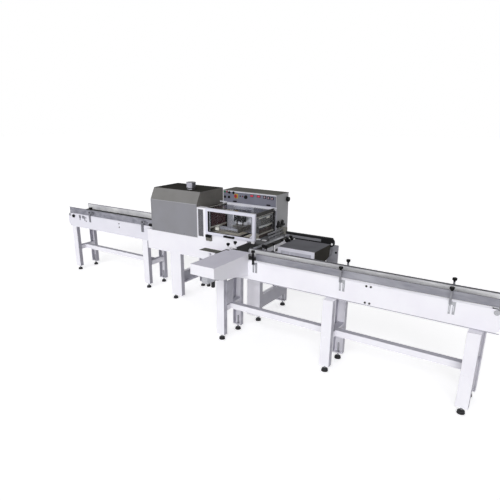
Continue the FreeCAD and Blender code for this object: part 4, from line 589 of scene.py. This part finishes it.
def leg_fasteners():
    """Bolts through the legs' webs into the cross ties."""
    bm = bmesh.new()
    web, tie_middle = 175.0, 332.0
    for centre, places in LEG_PAIRS:
        for x in places:
            for side in (-1, 1):
                for step in (-18, 18):
                    cap_screw(bm, (x + step, centre + side * web, tie_middle), (0, side, 0), 6.0)
    piece("leg_bolts", bm, white_coat, soften=0)


def vent_lattice():
    """Punched steel strip in the column: rows of short slots over a dark sheet of painted shade."""
    low, high = spot("vent_grille")
    columns, rows, rib = 6, 26, 3.0
    inset = 0.2         # of the cross ribs, behind the long ones
    bm = bmesh.new()
    pitch = (high.x - low.x - rib) / columns
    for k in range(columns + 1):
        x = low.x + k * pitch
        block(bm, x, x + rib, low.y, high.y, low.z, high.z)
    pitch = (high.z - low.z - rib) / rows
    for k in range(rows + 1):
        z = low.z + k * pitch
        block(bm, low.x + inset, high.x - inset, low.y + inset, high.y - inset, z, z + rib)
    strip = piece("vent_strip", bm, plate_coat, soften=0)
    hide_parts("vent_grille")
    # painted shade: a dark sheet behind the slots, in the hood's dark inside finish
    shade = blocks((low.x + 0.5, high.x - 0.5, high.y - 0.9, high.y - 0.2, low.z + 0.5, high.z - 0.5))
    piece("vent_duct_shade", shade, hood_inside, soften=0.2)


def curtain_strips():
    """Overlapping silicone strips with a slight curl, in place of the plain ones."""
    outlet = (-289.0, 115.0, 365.0, 1050.0, 8)
    mouth = (525.5, 46.0, 355.0, 1152.0, 11)
    foot, gap, curl, lap = 940.0, 1.6, 3.2, 1.2
    rows, columns = 7, 4
    bm = bmesh.new()
    for x, y0, y1, head, count in (outlet, mouth):
        width = (y1 - y0) / count
        for k in range(count):
            near = y0 + k * width + gap / 2
            far = near + width - gap
            grid = []
            for r in range(rows):
                z = head + (foot - head) * r / (rows - 1)
                ease = (r / (rows - 1)) ** 2
                line = []
                for c in range(columns):
                    y = near + (far - near) * c / (columns - 1)
                    bow = curl * ease * math.sin(k * 2.1 + c * 0.9) + (lap if k % 2 else -lap)
                    line.append(bm.verts.new((x + bow, y, z)))
                grid.append(line)
            for r in range(rows - 1):
                for c in range(columns - 1):
                    bm.faces.new((grid[r][c], grid[r][c + 1], grid[r + 1][c + 1], grid[r + 1][c]))
    made = piece("curtain_strips", bm, curtain_red, soften=0, smooth=True)
    thick = made.modifiers.new("strip_thickness", "SOLIDIFY")
    thick.thickness = 2.0 * MM
    thick.offset = 0.0
    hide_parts("tunnel_curtains")


LEDGE_PROUD, LEDGE_HEIGHT = 4.0, 18.0       # of the pale ledge under the fascia


def fascia_corner():
    """Left end, face and foot of the fascia, above its ledge."""
    low = spot("control_panel")[0]
    return low.x, low.y + LEDGE_PROUD, low.z + LEDGE_HEIGHT


def push_buttons():
    """Lamps and buttons on dark collars, by their places along and up the fascia."""
    left, face, foot = fascia_corner()
    collars = bmesh.new()
    caps = {}

    def push(along, rise, finish, radius=11.0, proud=7.0):
        centre = (left + along, face, foot + rise)
        turned(collars, [(radius + 3, 0), (radius + 3, 2.5), (radius + 1, 4)], centre, FRONT)
        caps.setdefault(finish, bmesh.new())
        turned(caps[finish], [(radius, 2), (radius, proud), (radius * 0.7, proud + 2)], centre, FRONT)

    push(27, 118, lens_green)
    push(57, 119, lens_red)
    for along, rise in ((89, 113), (147, 113), (27, 57), (84, 59)):
        push(along, rise, knob_black, 13.0, 9.0)
    push(272, 82, lens_red, 5.5, 5.0)
    push(240, 82, knob_black, 6.0, 6.0)
    piece("button_collars", collars, dark_trim_and_shade, soften=0.3)
    for finish, bm in caps.items():
        piece("caps_" + finish.name, bm, finish, soften=0.4)


def switch_and_timer():
    """Main switch on its plate, and the timer's knob with a pointer."""
    left, face, foot = fascia_corner()
    axis_up = foot + 78
    plate = blocks((left + 158, left + 208, face - 3, face, foot + 52, foot + 104))
    shown = piece("switch_plate", plate, yellow_plate, soften=2.0)
    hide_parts("panel_controls")
    handle = lathed(([(20, 3), (20, 7), (16, 10)], (left + 178, face, axis_up), FRONT))
    block(handle, left + 173, left + 183, face - 20, face - 9, foot + 61, foot + 95)
    piece("switch_handle", handle, red_knob, soften=1.5)
    knob = lathed(([(22, 0), (22, 3), (18, 6), (17, 17), (13, 19)], (left + 316, face, axis_up), FRONT, 20))
    block(knob, left + 314, left + 318, face - 20, face - 14, axis_up, axis_up + 14)
    piece("timer_knob", knob, knob_black)


def displays():
    """Two windows with three lit digits each, and three small dials in frames."""
    left, face, foot = fascia_corner()
    half_digit, half_bar, half_gap, stroke = 7.5, 4, 4.4, 1.1
    glass = face - 4
    windows = bmesh.new()
    digits = bmesh.new()
    for along, rise in ((397, 100), (486, 102)):
        x, z = left + along, foot + rise
        block(windows, x - 23, x + 23, glass, face, z - 14, z + 14)
        for middle in (x - 12, x, x + 12):
            for bar in (z - half_digit, z, z + half_digit):
                block(digits, middle - half_bar, middle + half_bar, glass - 0.6, glass,
                      bar - stroke, bar + stroke)
            for side in (middle - half_gap, middle + half_gap):
                block(digits, side - stroke, side + stroke, glass - 0.6, glass,
                      z - half_digit, z + half_digit)
    piece("display_windows", windows, screen, soften=1.5)
    piece("display_digits", digits, digit_red, soften=0)

    frames = bmesh.new()
    faces = bmesh.new()
    proud = 3.5
    for along, rise in ((564, 100), (613, 96), (660, 93)):
        x, z = left + along, foot + rise
        block(frames, x - 18, x + 18, face - proud, face, z - 16, z + 16)
        turned(faces, [(11, 0), (11, 2.5), (4, 4), (3.5, 9)], (x, face - proud, z), FRONT)
    piece("dial_frames", frames, knob_black, soften=1.0)
    piece("dial_faces", faces, dial_pale, soften=0.4)


def fascia_grips():
    """Two moulded finger grips low on the fascia, of rounded outline."""
    left, face, foot = fascia_corner()
    half_long, half_high, proud, points = 26, 8, 9, 24
    squareness = 0.6        # 1 would be an ellipse

    def rounded(value):
        return math.copysign(abs(value) ** squareness, value)

    grips = bmesh.new()
    for along in (168, 615):
        ring = []
        for k in range(points):
            a = 2 * math.pi * k / points
            ring.append((left + along + half_long * rounded(math.cos(a)), 0,
                         foot + 17 + half_high * rounded(math.sin(a))))
        swept(grips, ring, (0, face - proud, 0), (0, proud, 0))
    piece("fascia_grips", grips, knob_black, soften=2.0)


def fascia_frame():
    """Pale folded rim round the fascia, and the ledge's end plate and screws."""
    low, high = spot("control_panel")
    left, face, foot = fascia_corner()
    fold = face - 2.5
    rim = blocks((left, high.x, fold, face, high.z - 9, high.z))
    piece("fascia_rim", rim, rim_coat, soften=1.0)
    ends = blocks((left, left + 7, fold, face, foot, high.z), (high.x - 12, high.x, fold, face, foot, high.z))
    piece("fascia_end_folds", ends, cabinet_coat, soften=1.0)
    tab = blocks((446, 541, 340, 352, 1200, 1212))
    piece("ledge_end_plate", tab, rim_coat, soften=1.5)
    screws = bmesh.new()
    count, margin = 5, 30
    for k in range(count):
        x = left + margin + k * (high.x - left - 2 * margin) / (count - 1)
        dome_screw(screws, (x, low.y, low.z + LEDGE_HEIGHT / 2), FRONT, 3.0)
    piece("fascia_screws", screws, zinc, soften=0)


def cradle_front():
    """Folded rim and two sunk doors on the cradle's front, and its top lid."""
    low, high = spot("film_cradle")
    y = low.y
    left, right, foot, head = low.x + 32, high.x - 34, low.z + 24, high.z - 30
    rim = blocks((low.x, high.x, y - 2.5, y, head, high.z),
                 (low.x, left, y - 2.5, y, low.z, head),
                 (right, high.x, y - 2.5, y, low.z, head),
                 (left, right, y - 2.5, y, low.z, foot))
    piece("cradle_rim", rim, cradle_rim_coat, soften=1.2)
    gap = 4
    doors = blocks((left + gap, low.x + 138, y - 1.6, y, foot + gap, head - gap),
                   (low.x + 143, right - gap, y - 1.6, y, foot + gap, head - gap))
    piece("cradle_door", doors, cradle_door_coat)
    lid = blocks((low.x + 6, high.x - 6, y + 8, y + 367, high.z, high.z + 2))
    piece("cradle_lid", lid, cradle_coat)


def hood_trim():
    """Screws and edge folds of the tunnel's cover."""
    low, high = spot("tunnel_cover")
    screws = bmesh.new()
    count, margin = 5, 40
    for k in range(count):
        x = low.x + margin + k * (high.x - low.x - 2 * margin) / (count - 1)
        dome_screw(screws, (x, low.y, low.z + 18), FRONT, 4.5)
        dome_screw(screws, (x, high.y, low.z + 18), BACK, 4.5)
    for z in (960.0, 1080.0, 1200.0):
        for x in (low.x + 30, high.x - 30):
            dome_screw(screws, (x, high.y, z), BACK, 4.5)
    piece("cover_screws", screws, cabinet_roof_coat, soften=0)
    fold, shoulder = 14, 1216
    folds = blocks((low.x, low.x + fold, low.y - 1.2, low.y, low.z + 2, shoulder),
                   (high.x - fold, high.x, low.y - 1.2, low.y, low.z + 2, shoulder))
    piece("cover_edge_folds", folds, hood_coat, soften=0.5)


def rear_side():
    """Service doors with locks and air slots, panels and their screws on the sides that face away."""
    low, high = spot("control_cabinet")
    wall = high.y - 3
    door = wall + 2.5
    middle = low.x + 353        # of the gap between the doors
    doors = blocks((low.x + 30, middle - 8, wall, door, 870, 1300),
                   (middle + 8, high.x - 33, wall, door, 870, 1300))
    piece("cabinet_doors", doors, cabinet_coat, soften=1.2)
    locks = bmesh.new()
    for x in (middle - 28, middle + 28):
        turned(locks, [(13, 0), (13, 4), (9, 7)], (x, door, 1085), BACK)
        block(locks, x - 2, x + 2, door + 6.5, door + 9.5, 1077, 1093)
    piece("door_locks", locks, knob_black, soften=0.6)
    slots = bmesh.new()
    for start in (low.x + 110, low.x + 450):
        for k in range(9):
            z = 905 + k * 13
            swept(slots, [(0, door, z), (0, door, z + 7), (0, door + 4, z + 1)], (start, 0, 0), (140, 0, 0))
    piece("door_air_slots", slots, cabinet_coat, soften=0)

    low, high = spot("tunnel_cover")
    back = high.y
    panel = blocks((low.x + 60, high.x - 54, back, back + 2, 880, 1290))
    piece("tunnel_rear_panel", panel, hood_coat, soften=1.0)
    skirt = spot("long_skirts")[1].y
    bays = ((-330, 120), (160, 610), (650, 1190))
    covers = blocks(*[(x0, x1, skirt, skirt + 2, 625, 815) for x0, x1 in bays])
    piece("skirt_rear_covers", covers, white_coat, soften=1.0)
    screws = bmesh.new()
    for x0, x1 in bays:
        for x in (x0 + 14, (x0 + x1) / 2, x1 - 14):
            for z in (640, 800):
                dome_screw(screws, (x, skirt + 2, z), BACK)
    for x in (-220, 55, 330):
        for z in (895, 1275):
            dome_screw(screws, (x, back + 2, z), BACK)
    piece("rear_screws", screws, zinc, soften=0)


def guard_trim():
    """Dark seal and pale bead along the guard's roof, the stop block under it and the gusset's screw."""
    low, high = spot("guard_frame")
    sides = ((low.x, low.x + 2.5), (high.x - 2.5, high.x))
    seals = blocks(*[(x0, x1, FRONT_END, 311, high.z - 36, high.z - 15) for x0, x1 in sides])
    beads = blocks(*[(x0, x1, FRONT_END, 311, high.z - 41, high.z - 37) for x0, x1 in sides])
    piece("guard_side_seals", seals, dark_trim_and_shade, body="guard", soften=0.5)
    piece("guard_side_beads", beads, rail_coat, body="guard", soften=0.4)
    stop = blocks((high.x - 42, high.x - 8, low.y + 2, low.y + 26, low.z - 20, low.z))
    piece("guard_stop_block", stop, slip_white, body="guard", soften=1.5)
    screw = bmesh.new()
    dome_screw(screw, (high.x - 42, low.y + 10, low.z + 42), FRONT, 4.5)
    piece("gusset_screw", screw, zinc, body="guard", soften=0)


def film_turn():
    """Sheets behind the guard's right side where the film turns in, and the slip plates over the belt."""
    low, high = spot("film_deflector")
    wall = high.y
    plates = blocks((908, 1189, wall - 3.5, wall - 0.5, 1112, 1186),
                    (908, 1189, wall - 3.5, wall - 0.5, 845, 1108))
    piece("film_wall_plate", plates, plate_dark)
    # painted highlights: pale patches on the deflector's right face, by their ends along y and z
    pads = ((212, 276, 1108, 1130), (62, 128, 1124, 1136), (205, 262, 1022, 1034),
            (274, 336, 1026, 1038), (88, 118, 1023, 1038))
    pads = blocks(*[(high.x, high.x + 2.8, *ends) for ends in pads])
    piece("deflector_painted_highlights", pads, rail_coat, soften=1.2)
    angle = blocks((752, 880, wall - 6, wall, 1030, 1046), (800, 819, wall - 6, wall, 905, 1030))
    piece("wall_bracket", angle, rim_coat, soften=1.0)
    chute = blocks((low.x, low.x + 3, 96, 356, 905, 998))
    piece("film_chute", chute, chute_brown, soften=0.6)
    slips = blocks((1099, 1145, 112, 134, 884, 892), (1168, 1221, 112, 134, 884, 892))
    piece("slip_plates", slips, slip_white, soften=1.2)
    bar = blocks((1096, 1301.5, 134, 140, 884, 890))
    piece("slip_plate_bar", bar, dark_trim_and_shade, soften=0.6)


def lever_sleeves():
    """Grip sleeves on the clamp low on the cabinet's side."""
    cone = [(17, 0), (14, 30), (9, 52), (4, 60)]
    sleeves = lathed((cone, (1230, 354, 1006), UP, 16), (cone, (1230, 436, 1006), UP, 16),
                     ([(15, 0), (15, 143), (12, 146)], (1230, 330, 1003), BACK, 18))
    piece("lever_sleeves", sleeves, knob_black, soften=0.6)


def tunnel_fittings():
    """Flanged chimney with its rings, a painted highlight along the fold over the cover's front and the knob
    on its left end.
    """
    low, high = spot("tunnel_chimney")
    x, y, roof = (low.x + high.x) / 2, (low.y + high.y) / 2, low.z
    profile = [(46, 0), (46, 14), (41, 15), (41, 24), (53.5, 25), (53.5, 70), (55.5, 72), (55.5, 84), (51, 86)]
    stack = lathed((profile, (x, y, roof), UP, 56))
    made = piece("chimney_stack", stack, stack_lit_coat, soften=0.4)
    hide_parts("tunnel_chimney")
    # painted shade on the top and the right rear side, painted highlight on the rest: lit and shaded copies of
    # one grey
    made.data.materials.append(stack_shade)
    for face in made.data.polygons:
        if 0.8 * face.normal.x + 0.6 * face.normal.y > 0.25 or face.normal.z > SQUARE:
            face.material_index = 1
    rings = lathed(([(47.5, 0), (47.5, 4), (45, 5)], (x, y, roof), UP, 48),
                   ([(50, 0), (50, 8.5)], (x, y, roof + 15.5), UP, 48))
    piece("chimney_rings", rings, dark_trim_and_shade, soften=0.4)
    low, high = spot("tunnel_cover")
    # painted highlight: a paler strip along the fold at the cover's shoulder
    fold = blocks((low.x, high.x, low.y - 1.0, low.y + 1, 1211, 1219))
    piece("cover_fold_highlight", fold, fold_highlight_coat)
    profile = [(9, 0), (9, 22), (20, 24), (20, 62), (15, 68)]
    knob = lathed((profile, (low.x, low.y + 22, low.z + 47), LEFT, 20))
    piece("tunnel_end_knob", knob, knob_black, soften=1.0)


def outfeed_clamps():
    """Plates, knobs and bearing covers on the front of the outfeed."""
    face = spot("outfeed_beam")[0].y
    plates = bmesh.new()
    for left, foot, head, top, reach in ((-1593, 758, 880, 900, 74), (-589, 753, 867, 896, 64)):
        block(plates, left, left + 27, face - 10, face - 6, foot, head)
        block(plates, left, left + reach, face - 11, face - 6, head, top)
    for left in (-1815, -1748):
        block(plates, left, left + 40, face - 3, face, 788, 828)
    piece("outfeed_clamp_plates", plates, bracket_coat)
    cover = [(9, 0), (9, 5), (7, 7)]
    heads = lathed(([(7, 0), (7, 12), (20, 13), (23, 20), (23, 35), (18, 40)], (-1549, face + 2, 923), UP, 20),
                   ([(8, 0), (8, 6), (22, 7), (22, 20), (17, 24)], (-1920, face, 806), FRONT, 20),
                   (cover, (-1573, face - 11, 889), FRONT, 14), (cover, (-560, face - 11, 882), FRONT, 14))
    piece("outfeed_clamp_knobs", heads, knob_black)


def guide_edges():
    """Painted light over the shaded gap under the infeed's front guide, and painted shade on the rear guides'
    tops and under the infeed beams.
    """
    low, high = spot("conveyor_guides")
    end = high.x - 1
    # painted light: a pale strip in the lanes' reflection steel hides the shaded gap at the front guide's foot
    strip = blocks((1505, end, low.y - 0.3, low.y + 2.7, 876.3, 881.8))
    piece("guide_foot_strip", strip, lane_reflection_steel, soften=0.4)
    # painted shade: grey strips along the rear guides' top edges
    bead = blocks((low.x + 1, -399, 395.8, 397, 914, 924))
    piece("outfeed_guide_top_shade", bead, edge_shade_grey, soften=0.3)
    bead = blocks((1376, end, -452.2, -451, high.z - 9, high.z))
    piece("infeed_guide_top_shades", bead, guide_top_shade, soften=0.3)
    # painted shade: grey strips along the lower front edge of the infeed's beams
    lips = bmesh.new()
    for node, start in (("infeed_beam_outer", 2), ("infeed_beam_inner", 420)):
        low, high = spot(node)
        block(lips, low.x + start, high.x - 2, low.y - 0.8, low.y, low.z, low.z + 8)
    piece("beam_underside_shade", lips, edge_shade_grey, soften=0.3)


def film_clamps():
    """Star grip, slim posts and shade strip beside the film rail, and the plate behind the film bar."""
    x, lobes, points = 1447, 5, 40
    outline = []
    for k in range(points):
        a = 2 * math.pi * k / points
        radius = 26 + 5 * math.cos(lobes * a)
        outline.append((radius * math.cos(a), radius * math.sin(a), 0))
    knob = [(9, 0), (17, 8), (19, 20), (15, 25)]
    star = lathed(([(15, 0), (15, 12), (11, 15)], (x, 175, 928), UP, 20),
                  (knob, (x, -112, 925), UP, 20), (knob, (x, 50, 932), UP, 20))
    swept(star, outline, (x, 181, 900), (0, 0, 28))
    piece("film_star_grip", star, knob_black, soften=1.2)
    posts = lathed(([(6.5, 0), (6.5, 62)], (1457, -113, 862), UP, 14),
                   ([(5.0, 0), (5.0, 40)], (1452, 46, 886), UP, 14))
    piece("film_clamp_posts", posts, slip_white, soften=0.4)
    low, high = spot("film_rail")
    shade = blocks((high.x, high.x + 2, low.y + 2, high.y - 2, low.z, low.z + 16))
    piece("film_rail_shade", shade, dark_trim_and_shade, soften=0.4)
    low = spot("film_bar")[0]
    plate = blocks((low.x + 10, 1742, low.y - 2.5, low.y, 900, 928))
    piece("film_bar_plates", plate, cradle_coat)
    # painted shade: a black disc in the end plate's bore, for the dark inside of the hole
    bore_shade = lathed(([(12, 0), (12, 3), (8, 5)], (1913, 380, 804), FRONT, 20))
    piece("end_plate_bore_shade", bore_shade, knob_black, soften=0.4)
    stud = lathed(([(11, 0), (11, 5), (7, 8)], (1866, low.y, 890), FRONT, 18))
    piece("hook_stud", stud, slip_white, soften=0.5)
    low, high = spot("guard_latch")
    cap = blocks((low.x, high.x, low.y - 2.5, low.y, high.z - 29, high.z))
    piece("latch_cap", cap, knob_black)


def foot_threads():
    """Thread turns on the levelling rods, and grip rings and hubs on the pads."""
    turns, pitch, thread_foot, half_pair = 9, 3.4, 17.5, 145.0
    rings = bmesh.new()
    grips = bmesh.new()
    places = [(0, 0), (1210, 0), (0, 550), (1210, 550)]
    for centre, xs in LEG_PAIRS:
        for x in xs:
            places += [(x, centre - half_pair), (x, centre + half_pair)]
    for x, y in places:
        for k in range(turns):
            thread = [(8.0, 0), (9.2, 0.9), (9.2, 1.5), (8.0, 2.4)]
            turned(rings, thread, (x, y, thread_foot + k * pitch), UP, 14)
        turned(grips, [(30.0, 2.2), (31.2, 3.0), (31.2, 5.2), (30.0, 6.0)], (x, y, 0), UP, 26)
        turned(grips, [(29.0, 16.0), (28.0, 22.0), (15.0, 27.0), (13.0, 33.0)], (x, y, 0), UP, 26)
    piece("rod_threads", rings, zinc, soften=0)
    piece("pad_grip_rings", grips, pad_black, soften=0)


def seal_trim():
    """Seal faces, clamp strip and end cap of the jaw, the round cover behind it and the cylinders' ports."""
    low = spot("seal_head")[0]
    sole = low.z
    wire = blocks((low.x + 2, 848, 80, 84, sole - 2.4, sole), (861, 865, 110, 342, sole - 2.4, sole))
    piece("hot_wire_strip", wire, bar_aluminium, body="seal_head", soften=0.4)
    start = low.x + 57
    clamp = blocks((start, low.x + 297, 73, 75, 952, 976), (start, low.x + 262, 75, 109, 978, 979.5))
    piece("jaw_clamp_strip", clamp, bracket_coat, body="seal_head", soften=0.6)
    cap = blocks((low.x, start - 1, low.y - 2.5, low.y, 931, 969), (low.x + 1, start - 1, 66, 108, 978, 980))
    piece("jaw_end_cap", cap, rail_coat, body="seal_head", soften=1.0)
    disc = lathed(([(112, 0), (112, 3), (106, 5), (30, 5), (26, 7)], (735, 360, 1056), FRONT, 56))
    piece("wall_round_cover", disc, rim_coat, soften=0.5)
    ports = bmesh.new()
    y = spot("seal_cylinders")[0].y - 0.1
    for x in (762, 840):
        for z in (1085, 1036):
            turned(ports, [(6, 0), (6, 9), (4.5, 11)], (x, y, z), FRONT, 12)
    piece("cylinder_fittings", ports, zinc, soften=0)


beam_fasteners()
leg_fasteners()
vent_lattice()
curtain_strips()
push_buttons()
switch_and_timer()
displays()
fascia_grips()
fascia_frame()
cradle_front()
hood_trim()
rear_side()
guard_trim()
film_turn()
lever_sleeves()
tunnel_fittings()
outfeed_clamps()
guide_edges()
film_clamps()
foot_threads()
seal_trim()


# Studio
def seen_directly(tree):
    """1 for rays from the camera, a mirror or a pane, and 0 for those that only light things."""
    path = add_node(tree, "LightPath")
    shown = path.outputs["Is Camera Ray"]
    for ray in ("Is Glossy Ray", "Is Transmission Ray"):
        either = add_node(tree, "Math", {"operation": "MAXIMUM"}, {0: shown, 1: path.outputs[ray]})
        shown = either.outputs["Value"]
    return shown


def white_surround():
    """A faint even light on the object, behind which the camera sees plain white."""
    world = bpy.data.worlds.new("studio")
    bpy.context.scene.world = world
    world.use_nodes = True
    tree = world.node_tree
    tree.nodes.clear()
    soft = add_node(tree, "Background", {"Color": (0.98, 0.98, 1.0, 1), "Strength": 0.25})
    plain = add_node(tree, "Background", {"Color": (1, 1, 1, 1), "Strength": 1.0})
    links = {0: seen_directly(tree), 1: soft.outputs[0], 2: plain.outputs[0]}
    both = add_node(tree, "MixShader", {}, links)
    add_node(tree, "OutputWorld", {}, {"Surface": both.outputs[0]})


def paper_floor():
    """Seamless white paper that keeps the object's shadow."""
    half_side = 40      # metres
    bm = bmesh.new()
    bmesh.ops.create_grid(bm, x_segments=1, y_segments=1, size=half_side)
    mesh = bpy.data.meshes.new("studio_floor")
    bm.to_mesh(mesh)
    bm.free()
    floor = bpy.data.objects.new("studio_floor", mesh)
    bpy.context.scene.collection.objects.link(floor)
    paper = bpy.data.materials.new("seamless_white_paper")
    paper.use_nodes = True
    tree = paper.node_tree
    shader = tree.nodes["Principled BSDF"]
    fibre = add_node(tree, "TexNoise", {"Scale": 14.0, "Detail": 3.0})
    settings = {"data_type": "RGBA", 6: linear("f6f6f7"), 7: linear("f3f3f4")}
    tone = add_node(tree, "Mix", settings, {0: fibre.outputs["Fac"]})
    tree.links.new(tone.outputs[2], shader.inputs["Base Color"])
    shader.inputs["Roughness"].default_value = 0.9
    # the paper's own white, added where it is seen, so that the shadow stays and the rest is plain white
    own_white = 0.52
    shader.inputs["Emission Color"].default_value = (1, 1, 1, 1)
    white = add_node(tree, "Math", {"operation": "MULTIPLY", 1: own_white}, {0: seen_directly(tree)})
    tree.links.new(white.outputs["Value"], shader.inputs["Emission Strength"])
    mesh.materials.append(paper)


def sun(name, towards, strength, softness):
    """A broad lamp; softness is its angle in radians."""
    light = bpy.data.lights.new(name, "SUN")
    light.energy = strength
    light.angle = softness
    made = bpy.data.objects.new(name, light)
    bpy.context.scene.collection.objects.link(made)
    made.rotation_euler = Vector(towards).to_track_quat("Z", "Y").to_euler()


white_surround()
paper_floor()
sun("front_light", (0.19, -0.66, 0.22), 2.4, 0.9)
sun("rear_fill", (-0.5, 0.6, 0.45), 0.45, 1.2)
view = bpy.context.scene.view_settings
view.view_transform = "Standard"
